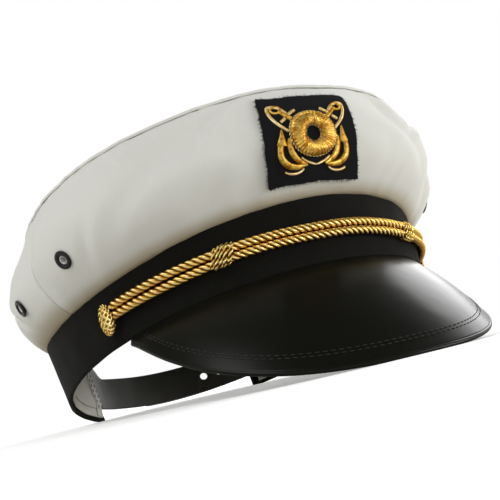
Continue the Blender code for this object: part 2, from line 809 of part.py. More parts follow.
def stand_on_table():
    """Tips the hat back onto its peak and band ends, with its base at the origin.

    The soft ends of the band settle a little, so that they stand on short flat heels.
    """
    tip = peak_point(0.0, 1.0, PEAK_BOARD)
    heel = hat_point(BAND_END, 0.0, HEEL_SETTLE)
    tip_back = Matrix.Rotation(-math.atan2(heel.z - tip.z, heel.y - tip.y), 4, "X")
    table_height = (tip_back @ tip).z
    pieces = [thing for thing in bpy.data.objects if thing.type == "MESH"]
    for piece in pieces:
        piece.data.transform(Matrix.Translation((0.0, 0.0, -table_height)) @ tip_back)
    for vertex in bpy.data.objects["band"].data.vertices:
        vertex.co.z = max(vertex.co.z, 0.0)
    shown = [piece for piece in pieces if not piece.hide_render]
    across = [vertex.co.x for piece in shown for vertex in piece.data.vertices]
    along = [vertex.co.y for piece in shown for vertex in piece.data.vertices]
    middle = Vector((0.5 * (min(across) + max(across)), 0.5 * (min(along) + max(along)), 0.0))
    for piece in pieces:
        piece.data.transform(Matrix.Translation(-middle))


clear_scene()
white_cotton = material("white_cotton", (0.80, 0.80, 0.76), 0.85)
black_twill = material("black_twill", (0.012, 0.012, 0.013), 0.80)
grey_cotton = material("grey_cotton", (0.45, 0.44, 0.38), 0.85)
patent_vinyl = material("patent_vinyl", (0.008, 0.008, 0.009), 0.12)
gold_cord = material("gold_cord", (0.72, 0.42, 0.06), 0.38, 0.6)
badge_cloth = material("badge_cloth", (0.010, 0.010, 0.012), 0.90)
gold_thread = material("gold_thread", (0.66, 0.38, 0.05), 0.45, 0.5)
black_metal = material("black_metal", (0.015, 0.015, 0.016), 0.35, 0.8)
strap_plastic = material("strap_plastic", (0.014, 0.014, 0.014), 0.40)

front_panel, back_panel = crown_panels(white_cotton)
crown_top(white_cotton)
band(black_twill)
sweatband(grey_cotton)
peak(patent_vinyl)
cord("cord_upper", 1.0, gold_cord)
cord("cord_lower", -1.0, gold_cord)
cord_knot("cord_knot_right", -KNOT_ANGLE, gold_cord)
cord_knot("cord_knot_left", KNOT_ANGLE, gold_cord)
cord_end("cord_end_right", -1.0, gold_cord)
cord_end("cord_end_left", 1.0, gold_cord)
badge_patch(badge_cloth)
badge_anchors(gold_thread)
badge_ring(gold_thread)
eyelets(front_panel, back_panel, white_cotton, black_metal)
strap(strap_plastic)
stand_on_table()
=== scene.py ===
"""Captain hat: the cloth, cord, embroidery, vinyl and plastic of the hat, dressed on its solids."""

import math
import random

import bpy
from mathutils import Matrix, Quaternion, Vector, noise


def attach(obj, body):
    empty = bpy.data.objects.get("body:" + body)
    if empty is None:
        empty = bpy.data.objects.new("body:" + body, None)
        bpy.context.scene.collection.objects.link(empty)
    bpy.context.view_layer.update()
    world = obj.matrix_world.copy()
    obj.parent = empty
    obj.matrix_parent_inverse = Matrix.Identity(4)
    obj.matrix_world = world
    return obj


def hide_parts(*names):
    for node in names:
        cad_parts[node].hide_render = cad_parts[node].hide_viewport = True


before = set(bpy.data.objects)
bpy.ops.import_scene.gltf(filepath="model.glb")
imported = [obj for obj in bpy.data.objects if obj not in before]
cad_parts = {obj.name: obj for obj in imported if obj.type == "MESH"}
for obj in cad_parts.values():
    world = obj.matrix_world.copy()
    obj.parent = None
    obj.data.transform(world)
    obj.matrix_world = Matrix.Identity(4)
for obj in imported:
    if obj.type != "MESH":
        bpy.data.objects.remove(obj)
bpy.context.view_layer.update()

# CAMERA, TABLE AND LIGHT
# The camera is just above the table, because the photograph looks up under the hat's brim.
# The table is a plain pale sheet. The light comes from a broad soft lamp on the wearer's right,
# a weaker one behind, two panels, and a pale room that is darker overhead than round its walls.
CAMERA_AZIMUTH = math.radians(-28.85)
CAMERA_DISTANCE = 0.50
CAMERA_HEIGHT = 0.008
CAMERA_AIM = Vector((0.0086, -0.0048, 0.0653))
CAMERA_ROLL = math.radians(13.05)
CAMERA_LENS = 74.4

camera_data = bpy.data.cameras.new("camera")
camera_data.sensor_width = 36.0
camera_data.lens = CAMERA_LENS
camera_data.clip_start = 0.004
camera = bpy.data.objects.new("camera", camera_data)
bpy.context.scene.collection.objects.link(camera)
camera_place = Vector(
    (
        CAMERA_DISTANCE * math.sin(CAMERA_AZIMUTH),
        -CAMERA_DISTANCE * math.cos(CAMERA_AZIMUTH),
        CAMERA_HEIGHT,
    )
)
look = (CAMERA_AIM - camera_place).to_track_quat("-Z", "Y")
camera.location = camera_place
camera.rotation_mode = "QUATERNION"
camera.rotation_quaternion = look @ Quaternion((0.0, 0.0, 1.0), -CAMERA_ROLL)
bpy.context.scene.camera = camera
bpy.context.scene.view_settings.view_transform = "Standard"


def deselect():
    bpy.ops.object.select_all(action="DESELECT")


def add_node(tree, kind, inputs=(), **settings):
    """A shader node with its settings, and its sockets filled with values or links."""
    made = tree.nodes.new(kind)
    for key, value in settings.items():
        setattr(made, key, value)
    for key, value in dict(inputs).items():
        if isinstance(value, bpy.types.NodeSocket):
            tree.links.new(value, made.inputs[key])
        else:
            made.inputs[key].default_value = value
    return made


def new_material(name, roughness, **sockets):
    """A material with one Principled shader, and the sockets that are the same all over."""
    made = bpy.data.materials.new(name)
    made.use_nodes = True
    shader = made.node_tree.nodes["Principled BSDF"]
    shader.inputs["Roughness"].default_value = roughness
    for key, value in sockets.items():
        shader.inputs[key.replace("_", " ")].default_value = value
    return made, made.node_tree, shader


def place_in(tree, kind="Object"):
    return add_node(tree, "ShaderNodeTexCoord").outputs[kind]


def map_value(tree, value, *limits, **settings):
    """A value moved from one range to another, given as its from and to limits."""
    keys = ("From Min", "From Max", "To Min", "To Max")
    inputs = {"Value": value, **dict(zip(keys, limits))}
    return add_node(tree, "ShaderNodeMapRange", inputs, **settings).outputs[0]


def mix_colours(tree, share, *colours):
    """A colour between two others, each of them a link or red, green and blue."""
    first, second = ((*c, 1.0) if isinstance(c, tuple) else c for c in colours)
    inputs = {0: share, 6: first, 7: second}
    return add_node(tree, "ShaderNodeMix", inputs, data_type="RGBA").outputs[2]


TABLE_GLOW = 0.35
WHITE = (1.0, 1.0, 1.0, 1.0)
deselect()
bpy.ops.mesh.primitive_circle_add(vertices=96, radius=30.0, fill_type="NGON")
table = bpy.context.object
table.name = table.data.name = "table"
table_paint, tree, shader = new_material(
    "table_paint", 0.9, Specular_IOR_Level=0.1, Emission_Color=WHITE
)
camera_sees = add_node(tree, "ShaderNodeLightPath").outputs["Is Camera Ray"]
table_colour = mix_colours(tree, camera_sees, (0.78, 0.76, 0.71), (0.90, 0.90, 0.90))
table_glow = map_value(tree, camera_sees, 0.0, 1.0, 0.0, TABLE_GLOW)
tree.links.new(table_colour, shader.inputs["Base Color"])
tree.links.new(table_glow, shader.inputs["Emission Strength"])
table.data.materials.append(table_paint)

SUN_STRENGTH = 1.28
SUN_SOFTNESS = math.radians(35.0)


def lamp(name, kind, azimuth, elevation, energy, distance=1.6, size=0.8, height_size=None):
    """A lamp that faces the hat from a direction, given as the camera's is."""
    light = bpy.data.lights.new(name, kind)
    light.energy = energy
    if kind == "SUN":
        light.angle = SUN_SOFTNESS
    else:
        light.shape = "RECTANGLE"
        light.size = size
        light.size_y = height_size or size
    around, over = math.radians(azimuth), math.radians(elevation)
    back = Vector(
        (
            math.sin(around) * math.cos(over),
            -math.cos(around) * math.cos(over),
            math.sin(over),
        )
    )
    made = bpy.data.objects.new(name, light)
    made.location = Vector((0.0, 0.0, 0.06)) + back * distance
    made.rotation_mode = "QUATERNION"
    made.rotation_quaternion = (-back).to_track_quat("-Z", "Y")
    bpy.context.scene.collection.objects.link(made)
    return made


lamp("key_lamp", "SUN", azimuth=-75.0, elevation=48.0, energy=SUN_STRENGTH)
lamp("front_panel", "AREA", azimuth=50.0, elevation=2.0, energy=10.0, size=1.0, height_size=0.2)
lamp("side_panel", "AREA", azimuth=118.0, elevation=27.0, energy=14.0, size=1.2, height_size=0.8)
lamp("back_lamp", "SUN", azimuth=165.0, elevation=62.0, energy=0.50)

room = bpy.data.worlds.new("room")
room.use_nodes = True
bpy.context.scene.world = room
tree = room.node_tree
tree.nodes.clear()
room_up = add_node(tree, "ShaderNodeSeparateXYZ", {0: place_in(tree, "Generated")})
room_shade = map_value(
    tree, room_up.outputs["Z"], 0.12, 0.62, 1.05, 0.14, interpolation_type="SMOOTHSTEP"
)
room_glow = add_node(tree, "ShaderNodeBackground", {"Color": WHITE, "Strength": room_shade})
room_white = add_node(tree, "ShaderNodeBackground", {"Color": WHITE, "Strength": 1.0})
camera_sees = add_node(tree, "ShaderNodeLightPath").outputs["Is Camera Ray"]
room_mix = add_node(
    tree,
    "ShaderNodeMixShader",
    {0: camera_sees, 1: room_glow.outputs[0], 2: room_white.outputs[0]},
)
add_node(tree, "ShaderNodeOutputWorld", {0: room_mix.outputs[0]})

# CROWN SIDE
# The crown's side is two panels of off-white plain cotton over a light stiffener. They are
# joined by flat seams at the temples and sewn down behind the band's top edge, and the back
# panel is cut away in a hemmed arch above the strap.
MM = 0.001
DEG = math.pi / 180.0
HAT_TILT = Matrix.Rotation(-13.957 * DEG, 3, "X")
HAT_SEAT = Vector((0.0, 0.01084, 0.01919))
HALF_LENGTH = 103.5 * MM
HALF_WIDTH = 86.5 * MM
BROW_WIDENING = 0.07
BAND_END = 145.0 * DEG
BAND_FLARE = 3.0 * MM
GAP = 0.3 * MM
SIDE_SEAM = 76.0 * DEG
SEAM_PINCH = 2.2 * MM
SEAM_PINCH_SPREAD = 5.0 * DEG
ARCH_TOP = 60.0 * MM
HAT_SECTIONS = [
    # angle_deg, band_height_mm, seam_height_mm, seam_reach_mm, bulge_mm
    (0.0, 29.0, 70.0, 21.0, 12.5),
    (30.0, 27.5, 70.6, 18.5, 14.0),
    (60.0, 25.0, 72.8, 11.0, 15.5),
    (90.0, 26.5, 75.5, 2.5, 13.0),
    (120.0, 33.5, 77.5, -2.5, 9.5),
    (145.0, 41.0, 78.5, -2.5, 7.5),
    (180.0, 41.5, 79.0, -5.0, 6.5),
]
BAND_HEIGHT, SEAM_HEIGHT, SEAM_REACH, BULGE = range(1, 5)
CROWN_DENTS = [
    # angle_deg, level, angle_spread_deg, level_spread, lean_deg_per_level, depth_mm
    (-38.0, 0.55, 6.0, 0.30, 34.0, 2.6),
    (-19.0, 0.50, 3.5, 0.28, -14.0, 1.6),
    (27.0, 0.55, 5.0, 0.30, -30.0, 2.2),
    (52.0, 0.45, 7.0, 0.30, 26.0, 2.4),
    (112.0, 0.55, 9.0, 0.35, 20.0, 2.6),
    (158.0, 0.75, 8.0, 0.30, -24.0, 2.2),
    (-126.0, 0.60, 9.0, 0.35, -22.0, 2.6),
    (-168.0, 0.75, 7.0, 0.25, 20.0, 1.8),
]
COTTON_CLOTH = 1.1 * MM
SEAM_TUCK = 0.8 * MM
SEAM_TUCK_WIDTH = 0.7 * DEG
TOP_SEAM_TUCK = 0.45 * MM
BAND_TUCK = (1.0 * MM, 1.2 * MM)
CREASE_DEPTH = 1.8 * MM
CREASE_SIZE = 32.0 * MM
PUCKER_DEPTH = 0.5 * MM
FOLD_RIDGE_AT = 1.9
FOLD_STRENGTH = 1.35
FOLD_END = 0.2
CROWN_FOLDS = [
    # angle_deg, level, angle_spread_deg, level_spread, lean_deg_per_level, depth_mm
    (-104.0, 0.80, 1.8, 0.20, 16.0, 1.5),
    (-99.0, 0.32, 2.4, 0.22, -22.0, 1.4),
    (-70.0, 0.86, 1.8, 0.22, 26.0, 1.3),
    (-57.0, 0.24, 2.0, 0.20, 14.0, 1.0),
    (-47.0, 0.92, 1.7, 0.18, -18.0, 1.5),
    (-27.0, 0.14, 2.6, 0.16, 30.0, 0.9),
    (-21.0, 0.90, 1.6, 0.16, 22.0, 1.1),
    (19.0, 0.90, 1.8, 0.20, -20.0, 1.3),
    (38.0, 0.82, 2.2, 0.24, 28.0, 1.5),
    (47.0, 0.20, 2.4, 0.20, -16.0, 1.2),
    (69.0, 0.88, 2.0, 0.20, -24.0, 1.3),
    (96.0, 0.26, 2.4, 0.24, 20.0, 1.4),
    (125.0, 0.86, 2.4, 0.24, -18.0, 1.5),
    (-138.0, 0.88, 2.2, 0.24, 20.0, 1.4),
]
WOBBLE = 1.1 * MM
HEM_WIDTH = 6.0 * MM
HEM_STEP = 0.35 * MM


def section_value(angle, column):
    """One column of HAT_SECTIONS at any angle, eased between its rows by a cubic."""
    degrees = abs((angle / DEG + 180.0) % 360.0 - 180.0)
    rows = HAT_SECTIONS
    index = max(i for i in range(len(rows) - 1) if rows[i][0] <= degrees)

    def slope(i):
        if i == 0 or i == len(rows) - 1:
            return 0.0
        rise = rows[i + 1][column] - rows[i - 1][column]
        return rise / (rows[i + 1][0] - rows[i - 1][0])

    start, end = rows[index], rows[index + 1]
    span = end[0] - start[0]
    t = (degrees - start[0]) / span
    value = (
        (2 * t**3 - 3 * t**2 + 1) * start[column]
        + (t**3 - 2 * t**2 + t) * span * slope(index)
        + (3 * t**2 - 2 * t**3) * end[column]
        + (t**3 - t**2) * span * slope(index + 1)
    )
    return value * MM


def hat_point(angle, reach, height):
    """A point in the hat's own frame: an angle round the oval, a reach outside it, a height."""
    across = HALF_WIDTH * math.sin(angle) * (1.0 + BROW_WIDENING * math.cos(angle))
    along = -HALF_LENGTH * math.cos(angle)
    return Vector((across + reach * math.sin(angle), along - reach * math.cos(angle), height))


def on_table(point):
    """The hat's own frame tipped back to where it rests on the table."""
    return HAT_TILT @ point + HAT_SEAT


def outward(angle):
    return Vector((math.sin(angle), -math.cos(angle), 0.0))


def dents_at(dents, angle, level):
    """For each dent of a list: how far across and along it a place lies, and its depth."""
    for at_deg, at_level, angle_spread, level_spread, lean, deepest in dents:
        off_angle = (angle / DEG - at_deg - lean * (level - at_level) + 180.0) % 360.0 - 180.0
        yield off_angle / angle_spread, (level - at_level) / level_spread, deepest * MM


def dent_depth(angle, level):
    """How far the soft cloth is pressed in at a place on the crown's side."""
    depth = 0.0
    for across, along, deepest in dents_at(CROWN_DENTS, angle, level):
        depth += deepest * math.exp(-across * across - along * along)
    seam_off = (abs(angle) - SIDE_SEAM) / SEAM_PINCH_SPREAD
    return depth + SEAM_PINCH * math.sin(math.pi * level) * math.exp(-seam_off * seam_off)


def crown_reach(angle, level):
    """Reach of the crown's smooth outer face, from the band (level 0) to the top seam (1)."""
    level = min(max(level, 0.0), 1.0)
    lean = BAND_FLARE + (section_value(angle, SEAM_REACH) - BAND_FLARE) * level
    swell = section_value(angle, BULGE) * math.sin(math.pi * level**0.75)
    return lean + swell - dent_depth(angle, level)


def crown_height(angle, level):
    low = section_value(angle, BAND_HEIGHT) + GAP
    return low + (section_value(angle, SEAM_HEIGHT) - low) * level


def crown_point(angle, level):
    return hat_point(angle, crown_reach(angle, level), crown_height(angle, level))


def crown_normal(angle, level):
    step = 0.01
    round_it = crown_point(angle + step, level) - crown_point(angle - step, level)
    up_it = crown_point(angle, level + step) - crown_point(angle, level - step)
    return round_it.cross(up_it).normalized()


def arch_level(angle):
    """Lowest level of the back panel, raised in an arch over the strap."""
    past_end = (abs(angle) - BAND_END) / (math.pi - BAND_END)
    if past_end <= 0.0:
        return 0.0
    rise = math.sqrt(1.0 - (1.0 - past_end) ** 2)
    low = section_value(angle, BAND_HEIGHT)
    lift = (ARCH_TOP - section_value(BAND_END, BAND_HEIGHT)) * rise
    return lift / (section_value(angle, SEAM_HEIGHT) - low)


def round_noise(angle, size, seed):
    """Random waves round the hat, of about one size, that meet where the round closes."""
    place = hat_point(angle, 0.0, 0.0) / size
    return noise.noise(Vector((place.x, place.y, seed)))


def seam_wobble(angle):
    """How the top seam wanders up and down, as it does on a soft crown."""
    return WOBBLE * (round_noise(angle, 28.0 * MM, 21.0) + 0.4 * round_noise(angle, 10.0 * MM, 22.0))


def soft_creases(angle, level):
    """Slack in the cloth: shallow creases all over, and puckers along both long seams."""
    place = hat_point(angle, 0.0, 0.0) / CREASE_SIZE
    place.z = level * 1.6
    slack = noise.noise(place) + 0.5 * noise.noise(place * 2.3)
    span = section_value(angle, SEAM_HEIGHT) - section_value(angle, BAND_HEIGHT)
    from_top, from_band = (1.0 - level) * span, level * span
    pucker = round_noise(angle, 4.0 * MM, 7.0)
    gather = round_noise(angle - 0.12 * level, 7.0 * MM, 3.0)
    depth = CREASE_DEPTH * slack * min(1.0, from_top / (8.0 * MM)) * min(1.0, from_band / (8.0 * MM))
    depth += PUCKER_DEPTH * pucker * math.exp(-from_top / (5.0 * MM))
    return depth + 1.6 * PUCKER_DEPTH * gather * math.exp(-from_band / (10.0 * MM))


def fold_depth(angle, level):
    """How deep the cloth's short folds are at a place, each a hollow with a low ridge by it."""
    depth = 0.0
    for across, along, deepest in dents_at(CROWN_FOLDS, angle, level):
        bend = math.exp(-across * across) - 0.5 * math.exp(-((across - FOLD_RIDGE_AT) ** 2))
        depth += deepest * bend * math.exp(-along * along)
    return FOLD_STRENGTH * depth * min(1.0, (1.0 - level) / FOLD_END)


def panel_point(angle, level, seams):
    """A point of a cotton panel's outer face, with its creases, seams and hem."""
    reach = crown_reach(angle, level) + soft_creases(angle, level) - fold_depth(angle, level)
    for seam in seams:
        off = (angle - seam) / SEAM_TUCK_WIDTH
        reach -= SEAM_TUCK * math.exp(-off * off)
    span = section_value(angle, SEAM_HEIGHT) - section_value(angle, BAND_HEIGHT)
    reach -= TOP_SEAM_TUCK * math.exp(-((1.0 - level) * span / (1.0 * MM)) ** 2)
    tucked = math.exp(-((level * span / (0.9 * MM)) ** 2))
    reach -= BAND_TUCK[0] * tucked
    over_arch = (level - arch_level(angle)) * span
    if abs(angle) > BAND_END:
        reach += HEM_STEP * (1.0 if over_arch < HEM_WIDTH else 0.0)
    height = crown_height(angle, level) + seam_wobble(angle) * level**3 - BAND_TUCK[1] * tucked
    return hat_point(angle, reach, height)


def laid_grid(name, across, up, lay, closed=False, depth_at=None):
    """A flat grid laid in place by a function of its two shares, with its UV map in metres.

    A closed grid joins up with itself along its height and is filled at both ends. Where
    depth_at is given, each point keeps how far out of the surface's hollows it stands.
    """
    deselect()
    bpy.ops.mesh.primitive_grid_add(x_subdivisions=across, y_subdivisions=up, size=1.0)
    piece = bpy.context.object
    piece.name = piece.data.name = name
    mesh = piece.data
    places, order = {}, []
    for vertex in mesh.vertices:
        column = round((vertex.co.x + 0.5) * across)
        row = round((vertex.co.y + 0.5) * up)
        order.append((column, row))
        vertex.co = on_table(lay(column / across, row / up))
        places[column, row] = vertex.co.copy()
    rows = range(0, up + 1, max(1, up // 4))
    columns = range(0, across + 1, max(1, across // 12))
    run, rise = [0.0], [0.0]
    for i in range(across):
        run.append(run[-1] + sum((places[i + 1, j] - places[i, j]).length for j in rows) / len(rows))
    for j in range(up):
        lengths = [(places[i, j + 1] - places[i, j]).length for i in columns]
        rise.append(rise[-1] + sum(lengths) / len(lengths))
    for loop in mesh.uv_layers.active.data:
        loop.uv = (run[round(loop.uv.x * across)], rise[round(loop.uv.y * up)])
    if depth_at:
        stands_out = mesh.attributes.new("stands_out", "FLOAT", "POINT")
        for vertex, (column, row) in zip(mesh.vertices, order):
            stands_out.data[vertex.index].value = depth_at(column / across, row / up)
    if closed:
        bpy.ops.object.mode_set(mode="EDIT")
        bpy.ops.mesh.select_all(action="SELECT")
        bpy.ops.mesh.remove_doubles(threshold=1e-6)
        bpy.ops.mesh.fill_holes(sides=0)
        bpy.ops.mesh.select_all(action="SELECT")
        bpy.ops.mesh.normals_make_consistent(inside=False)
        bpy.ops.object.mode_set(mode="OBJECT")
    bpy.ops.object.shade_smooth()
    return piece


def use_modifier(piece, kind, **settings):
    """Adds one modifier to a piece and applies it."""
    deselect()
    piece.select_set(True)
    bpy.context.view_layer.objects.active = piece
    change = piece.modifiers.new(kind.title(), kind)
    for key, value in settings.items():
        setattr(change, key, value)
    bpy.ops.object.modifier_apply(modifier=change.name)


def dress(piece, slot, finish, *nodes):
    """Gives a finished piece its material and its place on the hat."""
    piece.data.materials.clear()
    piece.data.materials.append(finish)
    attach(piece, "root")
    if nodes:
        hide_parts(*nodes)


def group_tree(name, inputs, outputs):
    """A shader node group with its sockets, and the nodes at its two ends."""
    tree = bpy.data.node_groups.new(name, "ShaderNodeTree")
    for label, kind, value in inputs:
        socket = tree.interface.new_socket(label, in_out="INPUT", socket_type=kind)
        if value is not None:
            socket.default_value = value
    for label, kind in outputs:
        tree.interface.new_socket(label, in_out="OUTPUT", socket_type=kind)
    return tree, tree.nodes.new("NodeGroupInput"), tree.nodes.new("NodeGroupOutput")


def maths(tree, operation, first, second=0.0):
    return add_node(tree, "ShaderNodeMath", {0: first, 1: second}, operation=operation).outputs[0]


def noise_value(tree, place, scale, detail, roughness=0.5):
    inputs = {"Vector": place, "Scale": scale, "Detail": detail, "Roughness": roughness}
    return add_node(tree, "ShaderNodeTexNoise", inputs).outputs[0]


def finish_material(tree, shader, colour, height, distance, strength=1.0):
    """Joins a material's colour to its shader, and its relief as a bump."""
    inputs = {"Height": height, "Distance": distance, "Strength": strength}
    bump = add_node(tree, "ShaderNodeBump", inputs)
    tree.links.new(colour, shader.inputs["Base Color"])
    tree.links.new(bump.outputs[0], shader.inputs["Normal"])


# Threads over and under each other; Twill turns the plain weave into slanting ribs.
SLUB_STRETCH = (0.06, 0.35, 0.35)
weave_group, weave_in, weave_out = group_tree(
    "Weave",
    [
        ("Place", "NodeSocketVector", None),
        ("Pitch", "NodeSocketFloat", 0.0006),
        ("Twill", "NodeSocketFloat", 0.0),
    ],
    [("Height", "NodeSocketFloat"), ("Slub", "NodeSocketFloat")],
)
tree = weave_group
turn = maths(tree, "DIVIDE", 2.0 * math.pi, weave_in.outputs["Pitch"])
place = add_node(
    tree, "ShaderNodeVectorMath", {0: weave_in.outputs["Place"], "Scale": turn}, operation="SCALE"
).outputs[0]
axes = add_node(tree, "ShaderNodeSeparateXYZ", {0: place})
warp = maths(tree, "SINE", axes.outputs["X"])
weft = maths(tree, "SINE", axes.outputs["Y"])
plain = maths(tree, "MULTIPLY", warp, weft)
rib = maths(tree, "SINE", maths(tree, "ADD", axes.outputs["X"], axes.outputs["Y"]))
threads = add_node(tree, "ShaderNodeMix", {0: weave_in.outputs["Twill"], 2: plain, 3: rib})
slub_place = add_node(
    tree, "ShaderNodeVectorMath", {0: place, 1: SLUB_STRETCH}, operation="MULTIPLY"
).outputs[0]
slub = noise_value(tree, slub_place, 1.0, 3.0, 0.6)
tree.links.new(maths(tree, "ADD", threads.outputs[0], slub), weave_out.inputs["Height"])
tree.links.new(slub, weave_out.inputs["Slub"])

# Cloth that has been handled: broad, faint patches where it is a little greyer.
wear_group, wear_in, wear_out = group_tree(
    "Handled cloth",
    [
        ("Place", "NodeSocketVector", None),
        ("Clean", "NodeSocketColor", (1.0, 1.0, 1.0, 1.0)),
        ("Handled", "NodeSocketColor", (0.5, 0.5, 0.5, 1.0)),
        ("Patch Size", "NodeSocketFloat", 0.03),
        ("Fleck", "NodeSocketFloat", 0.5),
    ],
    [("Color", "NodeSocketColor")],
)
tree = wear_group
patch_scale = maths(tree, "DIVIDE", 1.0, wear_in.outputs["Patch Size"])
patches = noise_value(tree, wear_in.outputs["Place"], patch_scale, 4.0, 0.55)
share = maths(tree, "MULTIPLY", patches, wear_in.outputs["Fleck"])
worn = mix_colours(tree, share, wear_in.outputs["Clean"], wear_in.outputs["Handled"])
tree.links.new(worn, wear_out.inputs["Color"])


def cloth_material(
    name, clean, handled, pitch, twill, depth, roughness, place_by="UV", painted_band_shade=None, **sockets
):
    """Woven cloth in two close colours, with its threads in relief.

    Where a colour for the lower edge is given, the cloth darkens to it along that edge, as painted shade
    next to the band.
    """
    made, tree, shader = new_material(name, roughness, **sockets)
    place = place_in(tree, place_by)
    weave = add_node(
        tree,
        "ShaderNodeGroup",
        {"Place": place, "Pitch": pitch, "Twill": twill},
        node_tree=weave_group,
    )
    worn = add_node(
        tree,
        "ShaderNodeGroup",
        {"Place": place_in(tree), "Clean": (*clean, 1.0), "Handled": (*handled, 1.0)},
        node_tree=wear_group,
    )
    colour = mix_colours(tree, weave.outputs["Slub"], worn.outputs["Color"], handled)
    # Painted shade: the colour darkens towards the lower edge, where the band shades the cloth.
    if painted_band_shade:
        up = add_node(tree, "ShaderNodeSeparateXYZ", {0: place}).outputs["Y"]
        shade_near_edge = map_value(
            tree, up, 0.0, PAINTED_SHADE_WIDTH, PAINTED_SHADE_SHARE, 0.0, interpolation_type="SMOOTHSTEP"
        )
        colour = mix_colours(tree, shade_near_edge, colour, painted_band_shade)
    finish_material(tree, shader, colour, weave.outputs["Height"], depth)
    return made


# Width and strength of the painted shade along the crown's lower edge, next to the band.
PAINTED_SHADE_WIDTH = 10.0 * MM
PAINTED_SHADE_SHARE = 0.95
WHITE_COTTON = {
    "clean": (0.80, 0.80, 0.76),
    "handled": (0.69, 0.69, 0.64),
    "pitch": 0.55 * MM,
    "twill": 0.0,
    "depth": 0.04 * MM,
    "roughness": 0.86,
    "Sheen_Weight": 0.15,
    "Sheen_Roughness": 0.5,
}
# The crown's lower edge takes a warm brown as painted shade next to the band.
crown_cotton = cloth_material("crown_cotton", painted_band_shade=(0.36, 0.29, 0.16), **WHITE_COTTON)


def crown_panel(name, start, end, columns, rows):
    """One cotton panel between two angles, hemmed over the arch, with a wall of cloth."""

    def lay(u, v):
        angle = start + (end - start) * u
        if angle > math.pi:
            angle -= 2.0 * math.pi
        low = arch_level(angle)
        seams = (SIDE_SEAM, -SIDE_SEAM)
        return panel_point(angle, low + (1.0 - low) * v, seams)

    piece = laid_grid(name, columns, rows, lay)
    use_modifier(piece, "SOLIDIFY", thickness=COTTON_CLOTH, offset=-1.0)
    return piece


crown_front = crown_panel("crown_front_cotton", -SIDE_SEAM, SIDE_SEAM, 260, 64)
crown_back = crown_panel("crown_back_cotton", SIDE_SEAM, 2.0 * math.pi - SIDE_SEAM, 300, 64)

# CROWN TOP
# The top is one oval of the same cotton, puffed up a little by its stiffener. It is sewn to
# the side all round with the seam turned inside, so its edge rolls over the seam.
TOP_PUFF = 15.0 * MM
TOP_ROUNDING = 2.4
TOP_OVERHANG = 0.15 * MM
LIP_RADIUS = 0.8 * MM
LIP_SHARE = 0.14
LIP_START = -60.0 * DEG
TOP_SLACK = (2.0 * MM, 0.8 * MM)
TOP_SLACK_SIZE = 45.0 * MM
TOP_HALF_SPAN = 95.0 * MM

turns = [2.0 * math.pi * i / 50 for i in range(50)]
top_middle_height = sum(section_value(turn, SEAM_HEIGHT) for turn in turns) / len(turns)
top_front = hat_point(0.0, section_value(0.0, SEAM_REACH), 0.0)
top_middle = 0.5 * (top_front + hat_point(math.pi, section_value(math.pi, SEAM_REACH), 0.0))


def top_point(u, v):
    """The top panel from its seam (v = 0) over its rolled edge to its middle (v = 1)."""
    angle = 2.0 * math.pi * u - math.pi
    edge = crown_point(angle, 1.0)
    wobble = seam_wobble(angle)
    pucker = PUCKER_DEPTH * round_noise(angle, 5.0 * MM, 11.0)
    if v < LIP_SHARE:
        roll = LIP_START + (90.0 * DEG - LIP_START) * v / LIP_SHARE
        reach = TOP_OVERHANG - LIP_RADIUS + LIP_RADIUS * math.cos(roll) + pucker
        lift = LIP_RADIUS * (math.sin(roll) - math.sin(LIP_START))
        return edge + outward(angle) * reach + Vector((0.0, 0.0, lift + wobble))
    share = 1.0 - (v - LIP_SHARE) / (1.0 - LIP_SHARE)
    inner = edge + outward(angle) * (TOP_OVERHANG - LIP_RADIUS)
    flat = top_middle.lerp(Vector((inner.x, inner.y, 0.0)), share)
    seat = top_middle_height + (edge.z - top_middle_height) * share**2 + wobble * share**8
    puff = TOP_PUFF * (1.0 - share**TOP_ROUNDING)
    lip = LIP_RADIUS * (1.0 - math.sin(LIP_START))
    place = Vector((flat.x, flat.y, 0.0)) / TOP_SLACK_SIZE
    slack = TOP_SLACK[0] * noise.noise(place) + TOP_SLACK[1] * noise.noise(place * 2.6)
    from_edge = (1.0 - share) * TOP_HALF_SPAN
    slack *= min(1.0, from_edge / (12.0 * MM))
    ripple = 1.2 * pucker * math.exp(-from_edge / (6.0 * MM))
    broad = 1.4 * PUCKER_DEPTH * round_noise(angle, 9.0 * MM, 31.0)
    ripple += broad * math.exp(-from_edge / (16.0 * MM))
    return Vector((flat.x, flat.y, seat + puff + lip + slack + ripple))


crown_top = laid_grid("crown_top_cotton", 240, 72, top_point)
bpy.ops.object.mode_set(mode="EDIT")
bpy.ops.mesh.select_all(action="SELECT")
bpy.ops.mesh.remove_doubles(threshold=1e-5)
bpy.ops.object.mode_set(mode="OBJECT")
use_modifier(crown_top, "SOLIDIFY", thickness=COTTON_CLOTH, offset=-1.0)
top_cotton = cloth_material("top_cotton", place_by="Object", **WHITE_COTTON)
dress(crown_top, "white_cotton", top_cotton, "crown_top")

# EYELETS
# Two black enamelled brass eyelets on each side let air into the crown. Each is pushed
# through a punched hole and its barrel is rolled over inside the cloth.
EYELET_PLACES = {"front": (63.0 * DEG, 0.27), "back": (88.0 * DEG, 0.27)}
EYELET_PROFILE = [
    # radius_mm, height_mm
    (1.95, -2.6),
    (1.95, 0.2),
    (2.05, 0.75),
    (2.45, 1.15),
    (3.1, 1.3),
    (3.8, 1.12),
    (4.25, 0.75),
    (4.3, 0.45),
    (4.1, 0.3),
    (2.6, 0.3),
    (2.6, -2.4),
    (2.9, -2.9),
    (2.5, -3.2),
    (2.1, -3.0),
]
BARREL_PROFILE = [
    # radius_mm, height_mm
    (1.5, -2.6),
    (1.5, 0.25),
    (1.6, 0.5),
    (1.8, 0.6),
    (1.94, 0.45),
    (1.94, -2.6),
]
PUNCH_RADIUS = 2.75 * MM
PUNCH_DEPTH = 16.0 * MM


